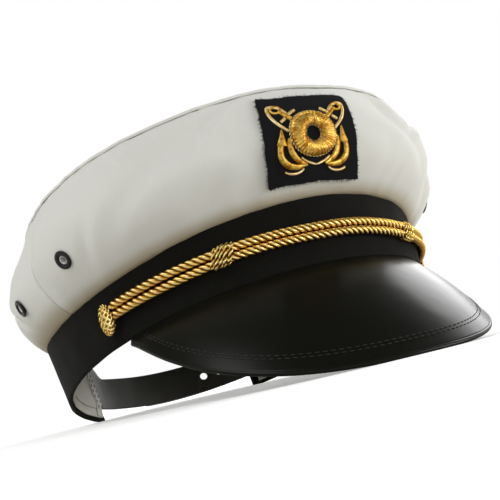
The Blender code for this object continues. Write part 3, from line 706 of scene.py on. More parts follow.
def turned(name, profile, centre, axis, sides):
    """A ring turned from a closed profile of radii and heights in millimetres."""
    face = axis.to_track_quat("Z", "Y").to_matrix()
    count = len(profile)

    def lay(u, v):
        radius, height = profile[round(v * count) % count]
        roll = 2.0 * math.pi * u
        local = Vector((radius * math.cos(roll), radius * math.sin(roll), height)) * MM
        return centre + face @ local

    piece = laid_grid(name, sides, count, lay, closed=True)
    use_modifier(piece, "SUBSURF", levels=1, render_levels=1)
    return piece


eyelet_enamel, tree, shader = new_material("eyelet_enamel", 0.32, Specular_IOR_Level=0.3)
wear = noise_value(tree, place_in(tree), 900.0, 4.0)
chipped = map_value(tree, wear, 0.56, 0.66, 0.0, 0.35)
colour = mix_colours(tree, chipped, (0.004, 0.004, 0.004), (0.06, 0.06, 0.05))
finish_material(tree, shader, colour, wear, 0.02 * MM, 0.5)

bare_metal, tree, shader = new_material("eyelet_bare_metal", 0.38, Metallic=0.25)
dull = noise_value(tree, place_in(tree), 1200.0, 3.0)
colour = mix_colours(tree, dull, (0.90, 0.90, 0.88), (0.62, 0.62, 0.60))
tree.links.new(colour, shader.inputs["Base Color"])


def punch_hole(piece, centre, axis, radius, depth):
    """Cuts a round hole through a piece."""
    deselect()
    bpy.ops.mesh.primitive_cylinder_add(
        vertices=32,
        radius=radius,
        depth=depth,
        location=on_table(centre),
        rotation=(HAT_TILT @ axis).to_track_quat("Z", "Y").to_euler(),
    )
    punch = bpy.context.object
    use_modifier(piece, "BOOLEAN", operation="DIFFERENCE", solver="EXACT", object=punch)
    bpy.data.objects.remove(punch, do_unlink=True)


for side_name, side in (("right", -1.0), ("left", 1.0)):
    for place, (angle, level) in EYELET_PLACES.items():
        angle *= side
        axis = crown_normal(angle, level)
        centre = crown_point(angle, level)
        centre += axis * (soft_creases(angle, level) - fold_depth(angle, level))
        node = "eyelet_" + side_name + "_" + place
        ring = turned(node + "_ring", EYELET_PROFILE, centre, axis, 32)
        dress(ring, "black_metal", eyelet_enamel, node)
        barrel = turned(node + "_barrel", BARREL_PROFILE, centre, axis, 24)
        dress(barrel, "black_metal", bare_metal)
        panel = crown_front if place == "front" else crown_back
        punch_hole(panel, centre, axis, PUNCH_RADIUS, PUNCH_DEPTH)

dress(crown_front, "white_cotton", crown_cotton, "crown_front")
dress(crown_back, "white_cotton", crown_cotton, "crown_back")

# BAND
# The band is a double strip of black twill with both long edges folded in, open at the back.
# The crown and the sweatband are sewn inside it, and its ends are folded and stitched shut.
BAND_CLOTH = 2.0 * MM
FOLD_STEPS = 6
STRIP_END_ROUND = 1.5 * DEG


def band_reach(angle, height):
    return BAND_FLARE * height / section_value(angle, BAND_HEIGHT)


def folded_section(low, top, cloth, face_steps, reach_at):
    """The closed outline of a folded strip: round at both edges, flat on both faces."""
    radius = 0.5 * cloth
    points = []
    for face in (0.0, 1.0):
        edge = top - radius if face == 0.0 else low + radius
        for i in range(face_steps):
            gone = (top - low - cloth) * i / face_steps
            height = low + radius + gone if face == 0.0 else top - radius - gone
            points.append((reach_at(height) - cloth * face, height))
        for i in range(FOLD_STEPS):
            roll = math.pi * (face + i / FOLD_STEPS)
            reach = reach_at(edge) - radius + radius * math.cos(roll)
            points.append((reach, edge + radius * math.sin(roll)))
    return points


def folded_strip(name, start, end, columns, cloth, low_at, top_at, face_steps, reach_at, slack=0.0):
    """A folded strip of cloth laid round the hat between two angles, thin at its two ends."""
    count = 2 * (face_steps + FOLD_STEPS)

    def lay(u, v):
        angle = start + (end - start) * u
        from_end = min(angle - start, end - angle)
        plump = math.sqrt(max(0.0, 1.0 - (1.0 - min(from_end / STRIP_END_ROUND, 1.0)) ** 2))
        thickness = cloth * (0.25 + 0.75 * plump)

        def reach(height):
            return reach_at(angle, height) - 0.5 * (cloth - thickness)

        outline = folded_section(low_at(angle), top_at(angle), thickness, face_steps, reach)
        r, height = outline[round(v * count) % count]
        run = 1.2 * HALF_LENGTH * angle
        ripple = slack * noise.noise(Vector((run / (14.0 * MM), height / (12.0 * MM), 5.0)))
        return hat_point(angle, r + ripple, height)

    return laid_grid(name, columns, count, lay, closed=True)


def rest_on_table(piece):
    """Presses whatever would reach through the table flat onto it."""
    for vertex in piece.data.vertices:
        vertex.co.z = max(vertex.co.z, 0.0)


band = folded_strip(
    "band_twill",
    -BAND_END,
    BAND_END,
    300,
    BAND_CLOTH,
    lambda angle: 0.0,
    lambda angle: section_value(angle, BAND_HEIGHT),
    10,
    band_reach,
    slack=0.25 * MM,
)
rest_on_table(band)
band_twill = cloth_material(
    "band_twill",
    clean=(0.0036, 0.0035, 0.0028),
    handled=(0.0080, 0.0078, 0.0062),
    pitch=0.9 * MM,
    twill=1.0,
    depth=0.06 * MM,
    roughness=0.80,
    Specular_IOR_Level=0.08,
    Sheen_Weight=0.02,
    Sheen_Roughness=0.45,
)
dress(band, "black_twill", band_twill, "band")

# SWEATBAND
# The sweatband is a strip of undyed cotton inside the band. Its hem is turned under and
# stitched to the band's lower fold, and its ends are bound with tape in two rows of stitches.
SWEATBAND_CLOTH = 1.2 * MM
SWEATBAND_LIFT = 1.8 * MM
SWEATBAND_DROP = 1.0 * MM
STRAP_POCKET = 1.8 * MM
SWEATBAND_END = BAND_END - 3.0 * DEG
SWEATBAND_HEM = 3.0 * MM
HEM_ROW = 4.2 * MM
STITCH_LENGTH = 2.1 * MM
STITCH_PITCH = 3.0 * MM
STITCH_WIDTH = 0.45 * MM


def sweatband_reach(angle, height):
    """The strip's outer face: against the band at its hem, and clear of it above."""
    over_hem = min(max((height - SWEATBAND_LIFT - SWEATBAND_HEM) / (2.0 * MM), 0.0), 1.0)
    clear = GAP + (STRAP_POCKET - GAP) * over_hem
    return band_reach(angle, height) - BAND_CLOTH - clear


sweatband = folded_strip(
    "sweatband_cotton",
    -SWEATBAND_END,
    SWEATBAND_END,
    260,
    SWEATBAND_CLOTH,
    lambda angle: SWEATBAND_LIFT,
    lambda angle: section_value(angle, BAND_HEIGHT) - SWEATBAND_DROP,
    12,
    sweatband_reach,
    slack=0.5 * MM,
)
sweatband_cotton = cloth_material(
    "sweatband_cotton",
    clean=(0.88, 0.86, 0.79),
    handled=(0.66, 0.65, 0.58),
    pitch=0.9 * MM,
    twill=0.0,
    depth=0.07 * MM,
    roughness=0.88,
    Sheen_Weight=0.1,
)
dress(sweatband, "grey_cotton", sweatband_cotton, "sweatband")


def mesh_piece(name, points, faces):
    """A piece made from its corner points and faces."""
    mesh = bpy.data.meshes.new(name)
    mesh.from_pydata(points, [], faces)
    made = bpy.data.objects.new(name, mesh)
    bpy.context.scene.collection.objects.link(made)
    return made


def stitch_rows(name, rows):
    """Short threads laid end to end along rows of points, joined into one piece."""
    deselect()
    bpy.ops.mesh.primitive_uv_sphere_add(segments=6, ring_count=4, radius=0.5)
    one = bpy.context.object
    corners = [vertex.co * 1.0 for vertex in one.data.vertices]
    faces = [tuple(face.vertices) for face in one.data.polygons]
    bpy.data.objects.remove(one, do_unlink=True)
    size = Vector((STITCH_WIDTH, STITCH_WIDTH, STITCH_LENGTH))
    points, polygons = [], []
    for row in rows:
        gone, next_at = 0.0, 0.5 * STITCH_PITCH
        for start, end in zip(row, row[1:]):
            step = (end - start).length
            while next_at <= gone + step:
                middle = start.lerp(end, (next_at - gone) / step)
                turn = (end - start).to_track_quat("Z", "Y").to_matrix()
                first = len(points)
                points += [on_table(middle + turn @ (corner * size)) for corner in corners]
                polygons += [tuple(first + i for i in face) for face in faces]
                next_at += STITCH_PITCH
            gone += step
    made = mesh_piece(name, points, polygons)
    made.data.shade_smooth()
    return made


def thread_material(name, colour):
    """Sewing thread: one colour, with darker random flecks as painted shade where its twist turns under.
    """
    made, tree, shader = new_material(name, 0.6)
    twist_shade = noise_value(tree, place_in(tree), 1500.0, 2.0)
    # Painted shade: random flecks darken the thread to six tenths of its colour.
    shade = mix_colours(tree, twist_shade, colour, tuple(0.6 * c for c in colour))
    tree.links.new(shade, shader.inputs["Base Color"])
    return made


def spread(start, end, count):
    return [start + (end - start) * i / (count - 1) for i in range(count)]


grey_thread = thread_material("grey_thread", (0.20, 0.19, 0.16))
black_thread = thread_material("black_thread", (0.012, 0.012, 0.012))


hem_height = SWEATBAND_LIFT + HEM_ROW
hem_row = []
for angle in spread(-SWEATBAND_END, SWEATBAND_END, 200):
    reach = sweatband_reach(angle, hem_height) - SWEATBAND_CLOTH - 0.1 * MM
    hem_row.append(hat_point(angle, reach, hem_height))
hem_stitches = stitch_rows("sweatband_hem_stitches", [hem_row])
dress(hem_stitches, "grey_cotton", grey_thread)


def join_pieces(name, pieces):
    deselect()
    for piece in pieces:
        piece.select_set(True)
    bpy.context.view_layer.objects.active = pieces[0]
    bpy.ops.object.join()
    pieces[0].name = pieces[0].data.name = name
    return pieces[0]


TAPE_WIDTH = 4.0 * DEG
TAPE_CLOTH = 0.6 * MM
tape_cotton = cloth_material(
    "tape_cotton",
    clean=(0.86, 0.85, 0.80),
    handled=(0.74, 0.73, 0.67),
    pitch=0.7 * MM,
    twill=1.0,
    depth=0.08 * MM,
    roughness=0.85,
)
tapes, tape_rows = [], []
for side in (-1.0, 1.0):
    outer_edge = side * (SWEATBAND_END - 0.2 * DEG)
    inner_edge = outer_edge - side * TAPE_WIDTH
    tapes.append(
        folded_strip(
            "tape",
            min(outer_edge, inner_edge),
            max(outer_edge, inner_edge),
            12,
            TAPE_CLOTH,
            lambda angle: SWEATBAND_LIFT + 0.4 * MM,
            lambda angle: section_value(angle, BAND_HEIGHT) - SWEATBAND_DROP - 0.4 * MM,
            12,
            lambda angle, height: sweatband_reach(angle, height) - SWEATBAND_CLOTH + 0.1 * MM,
        )
    )
    for inset in (0.22, 0.78):
        angle = outer_edge - side * TAPE_WIDTH * inset
        low = SWEATBAND_LIFT + 1.0 * MM
        top = section_value(angle, BAND_HEIGHT) - SWEATBAND_DROP - 1.0 * MM
        row = []
        for height in spread(low, top, 40):
            reach = sweatband_reach(angle, height) - SWEATBAND_CLOTH - TAPE_CLOTH + 0.05 * MM
            row.append(hat_point(angle, reach, height))
        tape_rows.append(row)
sweatband_tapes = join_pieces("sweatband_tapes", tapes)
dress(sweatband_tapes, "grey_cotton", tape_cotton)
tape_stitches = stitch_rows("sweatband_tape_stitches", tape_rows)
dress(tape_stitches, "grey_cotton", black_thread)

# PEAK
# The peak is a stiff board covered in black patent vinyl. Its outer edge is bound with a
# narrow vinyl strip, and two rows of stitches run round it 8 mm inside the edge.
PEAK_END = 59.0 * DEG
PEAK_DEPTH = 59.0 * MM
PEAK_SLOPE = 60.0 * DEG
PEAK_BOARD = 2.0 * MM
PEAK_BOW = 1.5 * MM
PEAK_END_DEPTH = 2.0 * MM
PEAK_OUTLINE_POWER = 2.4
PEAK_OUTLINE_EASE = 1.22
BINDING_RADIUS = 1.1 * MM
PEAK_TUCK = 1.3 * MM


def peak_depth(angle):
    share = min(abs(angle) / PEAK_END, 1.0)
    rounded = (1.0 - share**PEAK_OUTLINE_POWER) ** PEAK_OUTLINE_EASE
    return PEAK_END_DEPTH + (PEAK_DEPTH - PEAK_END_DEPTH) * rounded


def peak_at(angle, down, under):
    """A point on the peak, a length down its slope from the band and so far under its top."""
    share = down / peak_depth(angle)
    fullness = math.sqrt(max(peak_depth(angle) / PEAK_DEPTH, 0.0))
    proud = PEAK_BOW * math.sin(math.pi * share) * fullness - under
    reach = down * math.cos(PEAK_SLOPE) + proud * math.sin(PEAK_SLOPE)
    height = -GAP - down * math.sin(PEAK_SLOPE) + proud * math.cos(PEAK_SLOPE)
    return hat_point(angle, reach, height)


def peak_face(u, v):
    angle = PEAK_END * math.sin(0.5 * math.pi * (2.0 * u - 1.0))
    return peak_at(angle, peak_depth(angle) * (1.0 - v) - PEAK_TUCK * v, 0.0)


peak = laid_grid("peak_vinyl", 200, 48, peak_face)
use_modifier(peak, "SOLIDIFY", thickness=PEAK_BOARD, offset=-1.0)
patent_vinyl, tree, shader = new_material(
    "patent_vinyl", 0.30, Coat_Weight=0.10, Coat_Roughness=0.16, Specular_IOR_Level=0.10
)
wave = noise_value(tree, place_in(tree), 45.0, 2.0, 0.4)
grain = maths(tree, "MULTIPLY", noise_value(tree, place_in(tree), 1400.0, 3.0, 0.6), 0.015)
colour = mix_colours(tree, wave, (0.0038, 0.0038, 0.0026), (0.0064, 0.0064, 0.0040))
finish_material(tree, shader, colour, maths(tree, "ADD", wave, grain), 0.35 * MM)
dress(peak, "patent_vinyl", patent_vinyl, "peak")


def tube(name, line, radius, sides, steps, depth_at=None):
    """A round tube along a line given by a function of its share, with a UV map in metres."""
    points = [line(i / steps) for i in range(steps + 1)]

    def lay(u, v):
        i = round(u * steps)
        before, after = points[max(i - 1, 0)], points[min(i + 1, steps)]
        way = (after - before).normalized()
        side = way.cross(Vector((0.0, 0.0, 1.0)))
        side = side.normalized() if side.length > 1e-6 else Vector((1.0, 0.0, 0.0))
        over = side.cross(way)
        roll = -2.0 * math.pi * v
        return points[i] + (side * math.cos(roll) + over * math.sin(roll)) * radius

    def stands_out(u, v):
        return depth_at(u, lay(u, v))

    return laid_grid(name, steps, sides, lay, closed=True, depth_at=stands_out if depth_at else None)


def binding_line(share):
    angle = 0.999 * PEAK_END * math.sin(0.5 * math.pi * (2.0 * share - 1.0))
    return peak_at(angle, peak_depth(angle) - 0.2 * MM, 0.5 * PEAK_BOARD)


binding = tube("peak_binding", binding_line, BINDING_RADIUS, 12, 200)
rest_on_table(binding)
dress(binding, "patent_vinyl", patent_vinyl)


peak_rows = []
for inset in (6.4 * MM, 8.0 * MM):
    row = []
    for share in spread(-1.0, 1.0, 240):
        angle = PEAK_END * math.sin(0.5 * math.pi * share)
        if peak_depth(angle) > inset + 1.5 * MM:
            row.append(peak_at(angle, peak_depth(angle) - inset, -0.12 * MM))
    peak_rows.append(row)
peak_stitches = stitch_rows("peak_stitches", peak_rows)
dress(peak_stitches, "patent_vinyl", black_thread)

# GOLD CORD
# Two ropes of gold metallic thread, each of three plies, run side by side across the band's
# front. A cord is wound round both of them at the two knots, and their ends are bound flat.
CORD_DIAMETER = 3.85 * MM
CORD_SPACING = 3.85 * MM
CORD_LOOP_SPACING = 4.35 * MM
CORD_END = 60.0 * DEG
KNOT_ANGLE = 29.0 * DEG
ROPE_LEAD = 8.7 * MM
PLY_RADIUS = 0.92 * MM
PLY_ORBIT = 1.02 * MM
CORD_LEVELS = [
    # angle_deg, level
    (-60.0, 0.53),
    (-29.0, 0.49),
    (0.0, 0.44),
    (29.0, 0.40),
    (60.0, 0.50),
]


def smooth_step(value):
    value = min(max(value, 0.0), 1.0)
    return value * value * (3.0 - 2.0 * value)


def cord_spacing(angle):
    share = (abs(angle) - KNOT_ANGLE) / (CORD_END - KNOT_ANGLE)
    if share <= 0.0:
        return CORD_SPACING
    return CORD_SPACING + (CORD_LOOP_SPACING - CORD_SPACING) * math.sin(math.pi * min(share, 1.0))


def cord_height(angle):
    degrees = angle / DEG
    rows = CORD_LEVELS
    index = 0
    while index < len(rows) - 2 and degrees > rows[index + 1][0]:
        index += 1
    start, end = rows[index], rows[index + 1]
    share = smooth_step((degrees - start[0]) / (end[0] - start[0]))
    level = start[1] + (end[1] - start[1]) * share
    return level * section_value(angle, BAND_HEIGHT)


def cord_reach(angle, height):
    return band_reach(angle, height) + 2.0 * GAP + 0.5 * CORD_DIAMETER


# Fine metallic threads wound side by side, seen as close slanting ridges. The colour goes from Deep to
# Bright in random patches, and is lighter on each thread's ridge than in its groove, which is painted
# shade.
thread_group, thread_in, thread_out = group_tree(
    "Wound thread",
    [
        ("Place", "NodeSocketVector", None),
        ("Pitch", "NodeSocketFloat", 0.0003),
        ("Slant", "NodeSocketFloat", 0.5),
        ("Bright", "NodeSocketColor", (1.0, 0.8, 0.3, 1.0)),
        ("Deep", "NodeSocketColor", (0.3, 0.1, 0.0, 1.0)),
    ],
    [("Color", "NodeSocketColor"), ("Height", "NodeSocketFloat")],
)
tree = thread_group
axes = add_node(tree, "ShaderNodeSeparateXYZ", {0: thread_in.outputs["Place"]})
slanted = maths(tree, "MULTIPLY", axes.outputs["Y"], thread_in.outputs["Slant"])
way = maths(tree, "ADD", axes.outputs["X"], slanted)
turn = maths(tree, "DIVIDE", 2.0 * math.pi, thread_in.outputs["Pitch"])
wave = maths(tree, "SINE", maths(tree, "MULTIPLY", way, turn))
height = maths(tree, "MULTIPLY", maths(tree, "ADD", wave, 1.0), 0.5)
stray = noise_value(tree, thread_in.outputs["Place"], 700.0, 3.0, 0.6)
patches = noise_value(tree, thread_in.outputs["Place"], 220.0, 1.0)
mottle = maths(tree, "ADD", stray, patches)
# Painted shade: the thread's height lifts the share towards Bright on the ridges, on top of random mottle.
share = map_value(tree, maths(tree, "ADD", mottle, maths(tree, "MULTIPLY", height, 0.3)), 0.92, 1.33)
colour = mix_colours(tree, share, thread_in.outputs["Deep"], thread_in.outputs["Bright"])
tree.links.new(colour, thread_out.inputs["Color"])
tree.links.new(height, thread_out.inputs["Height"])


EDGE_GOLD = (1.0, 0.62, 0.24, 1.0)


def gold_material(name, pitch, slant, bright, deep, roughness=0.24, hollow=None, crest=None):
    """Gold metallic thread; twisted and netted pieces have painted shade, brown, in their hollows and a
    painted highlight, pale, on top.
    """
    made, tree, shader = new_material(name, roughness, Metallic=1.0, Specular_Tint=EDGE_GOLD)
    inputs = {
        "Place": place_in(tree, "UV"),
        "Pitch": pitch,
        "Slant": slant,
        "Bright": (*bright, 1.0),
        "Deep": (*deep, 1.0),
    }
    threads = add_node(tree, "ShaderNodeGroup", inputs, node_tree=thread_group)
    colour = threads.outputs["Color"]
    # Painted shade in the hollows and a painted highlight on the crests, laid by how far each point stands
    # out.
    if hollow:
        height = add_node(tree, "ShaderNodeAttribute", attribute_name="stands_out").outputs["Fac"]
        painted_highlight_share = map_value(tree, height, 0.84, 1.0, 0.0, 0.8)
        colour = mix_colours(tree, painted_highlight_share, colour, crest)
        colour = mix_colours(tree, maths(tree, "POWER", height, 1.1), hollow, colour)
    finish_material(tree, shader, colour, threads.outputs["Height"], 0.08 * MM, 0.8)
    return made


# Painted shade for the hollows between plies and threads.
HOLLOW_SHADE_PAINT = (0.085, 0.015, 0.001)
rope_gold = gold_material(
    "rope_gold",
    pitch=0.42 * MM,
    slant=-0.6,
    bright=(1.0, 0.70, 0.13),
    deep=(0.76, 0.31, 0.014),
    # The hollow colour is painted shade and the crest colour a painted highlight.
    hollow=HOLLOW_SHADE_PAINT,
    crest=(1.0, 0.86, 0.44),
)


def twisted_rope(name, line, length, lead, plies, orbit, radius, sides=10, step=0.5 * MM, start=0.0):
    """Plies wound round a line, each a tube; the line is a function of its share."""
    steps = max(8, round(length / step))
    fine = [line(i / steps) for i in range(steps + 1)]
    hollow, crest = 0.68 * (orbit + radius), 0.98 * (orbit + radius)
    made = []

    def stands_out(share, spot):
        from_axis = (spot - fine[round(share * steps)]).length
        return min(max((from_axis - hollow) / (crest - hollow), 0.0), 1.0)

    for ply in range(plies):

        def ply_line(share):
            i = round(share * steps)
            before, after = fine[max(i - 1, 0)], fine[min(i + 1, steps)]
            way = (after - before).normalized()
            out = outward(math.atan2(fine[i].x, -fine[i].y))
            over = out.cross(way).normalized()
            out = way.cross(over)
            roll = start - 2.0 * math.pi * (share * length / lead + ply / plies)
            return fine[i] + (out * math.cos(roll) + over * math.sin(roll)) * orbit

        made.append(tube(name, ply_line, radius, sides, steps, stands_out))
    return join_pieces(name, made)


def rope_line(side):
    def line(share):
        angle = CORD_END * (2.0 * share - 1.0)
        height = cord_height(angle) + side * 0.5 * cord_spacing(angle)
        return hat_point(angle, cord_reach(angle, height), height)

    return line


def line_length(line, steps=200):
    points = [line(i / steps) for i in range(steps + 1)]
    return sum((b - a).length for a, b in zip(points, points[1:]))


for node, side, start in (("cord_upper", 1.0, 0.0), ("cord_lower", -1.0, 1.3)):
    line = rope_line(side)
    rope = twisted_rope(
        node + "_rope", line, line_length(line), ROPE_LEAD, 3, PLY_ORBIT, PLY_RADIUS, start=start
    )
    dress(rope, "gold_cord", rope_gold, node)

# CORD KNOTS AND ENDS
# Each knot is a thin two-ply gold thread, wound over four turns round both ropes and drawn tight.
# Each end is a flat bud of netted thread with a corded rim, bound over the ropes' cut ends.
# The threads' lead, plies, orbit and radius
KNOT_THREAD = (5.0 * MM, 2, 0.44 * MM, 0.52 * MM)
RIM_THREAD = (4.0 * MM, 2, 0.40 * MM, 0.48 * MM)
KNOT_TURNS = 4.4
KNOT_STEP = 2.0 * MM
KNOT_SLANT = -3.0 * MM
KNOT_CLEAR = -0.25 * MM
KNOT_SWELL = 0.35 * MM
CORD_END_HALF_SIZE = (3.3 * MM, 2.3 * MM, 6.3 * MM)
CORD_END_DROP = 2.2 * MM
NET_UP, NET_ROUND = 6.5, 3.0
NET_SHARPNESS = 2.5
NET_RELIEF = 0.5 * MM

knot_gold = gold_material(
    "knot_gold",
    pitch=0.36 * MM,
    slant=-0.35,
    bright=(1.0, 0.82, 0.24),
    deep=(0.88, 0.46, 0.03),
    # The hollow colour is painted shade and the crest colour a painted highlight.
    hollow=HOLLOW_SHADE_PAINT,
    crest=(1.0, 0.93, 0.50),
)


def knot_line(centre_angle):
    thin_depth = 0.5 * CORD_DIAMETER + KNOT_CLEAR
    thin_height = 0.5 * CORD_SPACING + 0.5 * CORD_DIAMETER + KNOT_CLEAR

    def line(share):
        turns_gone = KNOT_TURNS * (share - 0.5)
        swell = KNOT_SWELL * math.cos(math.pi * (share - 0.5))
        half_depth, half_height = thin_depth + swell, thin_height + swell
        roll = 2.0 * math.pi * turns_gone
        stray = 0.5 * MM * noise.noise(Vector((share * 9.0, centre_angle, 0.0)))
        along = KNOT_STEP * turns_gone - KNOT_SLANT * 0.5 * math.sin(roll) + stray
        angle = centre_angle + along / (HALF_LENGTH + CORD_DIAMETER)
        middle = cord_height(angle)
        across = math.copysign(abs(math.cos(roll)) ** 0.7, math.cos(roll))
        depth = half_depth if across > 0.0 else 0.5 * CORD_DIAMETER
        reach = cord_reach(angle, middle) + depth * across
        return hat_point(angle, reach, middle + half_height * math.sin(roll))

    return line


for node, angle in (("cord_knot_right", -KNOT_ANGLE), ("cord_knot_left", KNOT_ANGLE)):
    line = knot_line(angle)
    knot = twisted_rope(
        node + "_wrap", line, line_length(line), *KNOT_THREAD, sides=8, step=0.35 * MM
    )
    dress(knot, "gold_cord", knot_gold, node)

for node, side in (("cord_end_right", -1.0), ("cord_end_left", 1.0)):
    half_width, half_depth, half_height = CORD_END_HALF_SIZE
    angle = side * (CORD_END + (half_width + GAP) / (HALF_WIDTH + CORD_DIAMETER))
    height = cord_height(angle) - CORD_END_DROP
    bud_centre = hat_point(angle, band_reach(angle, height) + 2.0 * GAP + half_depth, height)
    along = (hat_point(angle + 0.01, 0.0, 0.0) - hat_point(angle - 0.01, 0.0, 0.0)).normalized()
    out = along.cross(Vector((0.0, 0.0, 1.0)))

    def net(u, v):
        rise, roll = math.pi * (u - 0.5), -2.0 * math.pi * v
        up, round_it = NET_UP * rise, NET_ROUND * roll
        crossing = abs(math.sin(up + round_it)), abs(math.sin(up - round_it))
        return 1.0 - min(crossing) ** NET_SHARPNESS

    def bud(u, v):
        rise = math.pi * (u - 0.5)
        roll = -2.0 * math.pi * v
        lattice = NET_RELIEF * (net(u, v) - 0.4)
        wide = (half_width + lattice) * math.cos(rise)
        deep = (half_depth + lattice) * math.cos(rise)
        flat = along * wide * math.cos(roll) + out * deep * math.sin(roll)
        return bud_centre + flat + Vector((0.0, 0.0, half_height * math.sin(rise)))

    def bud_rim(share):
        roll = 2.0 * math.pi * share
        flat = along * half_width * math.cos(roll) + out * 0.35 * half_depth
        return bud_centre + flat + Vector((0.0, 0.0, half_height * math.sin(roll)))

    end = laid_grid(node + "_bud", 128, 128, bud, closed=True, depth_at=net)
    rim = twisted_rope(
        "rim", bud_rim, line_length(bud_rim), *RIM_THREAD, sides=8, step=0.35 * MM
    )
    end = join_pieces(node + "_bud", [end, rim])
    dress(end, "gold_cord", knot_gold, node)

# BADGE
# The badge is a patch of black felted cloth cut from a strip, with raw frayed edges. Its
# crossed anchors are gold satin stitch, and the ring over them is worked over thick padding.
BADGE_ANGLE = -2.5 * DEG
BADGE_BASE = 8.2 * MM
BADGE_WIDTH = 42.0 * MM
BADGE_HEIGHT = 36.4 * MM
BADGE_CLOTH = 1.2 * MM
BADGE_TURN = -3.0 * DEG
BADGE_LEAN = 1.8 * MM
BADGE_BOW = 2.0 * MM
BADGE_TAPER = 0.05
CORNER_PULL = {
    # right or left, low or high: across_mm, up_mm
    (0, 0): (0.8, -0.5),
    (0, 1): (0.6, 1.3),
    (1, 0): (0.8, 0.3),
    (1, 1): (-1.0, -1.0),
}
EMBLEM_RELIEF = 1.0 * MM
EMBLEM_RISE = 1.2 * MM
RING_OUTSIDE = (10.2 * MM, 8.3 * MM)
RING_INSIDE = (3.3 * MM, 2.9 * MM)
RING_HEIGHT = 2.3 * MM
RING_STITCHES = 42
RING_EDGE_LIFT = 0.55 * MM
# The couched thread's lead, plies, orbit and radius
RING_EDGE_THREAD = (2.9 * MM, 2, 0.24 * MM, 0.34 * MM)
SATIN_LOW = 0.75 * MM + BADGE_CLOTH
FRAY_COUNT = 420
FRAY_WIDTH = 0.11 * MM

levels = spread(0.0, 1.0, 41)
crown_run = [0.0]
for low, high in zip(levels, levels[1:]):
    rise = crown_point(BADGE_ANGLE, high) - crown_point(BADGE_ANGLE, low)
    crown_run.append(crown_run[-1] + rise.length)


def on_badge(across, up, lift):
    """A place on the badge, in its flat width and height, laid on the crown's front."""
    rise = up / (0.5 * BADGE_HEIGHT)
    across -= BADGE_BOW * (1.0 - min(rise * rise, 1.0)) + BADGE_LEAN * 0.5 * rise
    turned_across = across * math.cos(BADGE_TURN) - up * math.sin(BADGE_TURN)
    turned_up = across * math.sin(BADGE_TURN) + up * math.cos(BADGE_TURN)
    distance = BADGE_BASE + 0.5 * BADGE_HEIGHT + turned_up
    index = max(i for i in range(len(crown_run) - 1) if crown_run[i] <= distance)
    share = (distance - crown_run[index]) / (crown_run[index + 1] - crown_run[index])
    level = levels[index] + (levels[index + 1] - levels[index]) * share
    round_front = HALF_WIDTH * (1.0 + BROW_WIDENING) + crown_reach(BADGE_ANGLE, level)
    angle = BADGE_ANGLE + turned_across / round_front
    return crown_point(angle, level) + crown_normal(angle, level) * lift


def ragged(share, seed):
    """How far a cut edge wanders in or out at a share of its length."""
    broad = noise.noise(Vector((share * 4.0, seed, 2.0)))
    fine = noise.noise(Vector((share * 15.0, seed, 4.0)))
    return 0.55 * MM * broad + 0.35 * MM * fine


def patch_spot(u, v):
    """A place on the roughly cut patch, in its flat width and height."""
    x = BADGE_WIDTH * (1.0 + BADGE_TAPER * (0.5 - v)) * (u - 0.5)
    y = BADGE_HEIGHT * (v - 0.5)
    to_side, to_end = abs(2.0 * u - 1.0) ** 6, abs(2.0 * v - 1.0) ** 6
    x += math.copysign(to_side, u - 0.5) * ragged(v, 1.5 if u < 0.5 else 5.5)
    y += math.copysign(to_end, v - 0.5) * ragged(u, 9.5 if v < 0.5 else 13.5)
    pull = Vector(CORNER_PULL[int(u > 0.5), int(v > 0.5)]) * MM
    return Vector((x, y)) + pull * to_side * to_end


def patch_point(u, v):
    spot = patch_spot(u, v)
    sag = 0.25 * MM * noise.noise(Vector((u * 4.0, v * 4.0, 9.0)))
    return on_badge(spot.x, spot.y, SATIN_LOW + sag)


patch = laid_grid("badge_cloth", 80, 76, patch_point)
use_modifier(patch, "SOLIDIFY", thickness=BADGE_CLOTH, offset=-1.0)
badge_cloth = cloth_material(
    "badge_cloth",
    clean=(0.0045, 0.0045, 0.0060),
    handled=(0.010, 0.010, 0.012),
    pitch=0.8 * MM,
    twill=1.0,
    depth=0.10 * MM,
    roughness=0.9,
    Specular_IOR_Level=0.15,
)
dress(patch, "badge_cloth", badge_cloth, "badge_patch")

# Each frayed thread is a root on the patch's edge, its reach, its lift and its curl.
EDGE_WAYS = [(-1.0, 0.0), (0.0, 1.0), (1.0, 0.0), (0.0, -1.0)]
seeded = random.Random(7)
fray_points, fray_faces = [], []
for number in range(FRAY_COUNT):
    edge, share = divmod(4.0 * number / FRAY_COUNT, 1.0)
    corners = [(0.0, share), (share, 1.0), (1.0, 1.0 - share), (1.0 - share, 0.0)]
    way = Vector(EDGE_WAYS[int(edge)])
    root = patch_spot(*corners[int(edge)]) * 0.99
    reach = way * seeded.uniform(0.5, 1.7) * MM
    reach += way.orthogonal() * seeded.uniform(-0.9, 0.9) * MM
    lift = 0.9 * MM + seeded.uniform(0.0, 0.9) * MM
    curl = seeded.uniform(-0.3, 0.4) * MM
    side = reach.orthogonal().normalized() * FRAY_WIDTH
    first = len(fray_points)
    for step, width in ((0.0, 1.0), (0.5, 0.9), (1.0, 0.4)):
        for across, over in ((-1.0, 0.0), (1.0, 0.0), (0.0, 0.18 * MM)):
            spot = root + reach * step + side * across * width
            height = lift + curl * step * step + over * width
            fray_points.append(on_table(on_badge(spot.x, spot.y, height)))
    for ring in (first, first + 3):
        for i, j in ((0, 1), (1, 2), (2, 0)):
            fray_faces.append((ring + i, ring + j, ring + 3 + j, ring + 3 + i))
    fray_faces += [(first, first + 2, first + 1), (first + 6, first + 7, first + 8)]
fray_piece = mesh_piece("badge_fray", fray_points, fray_faces)
dress(fray_piece, "badge_cloth", black_thread)


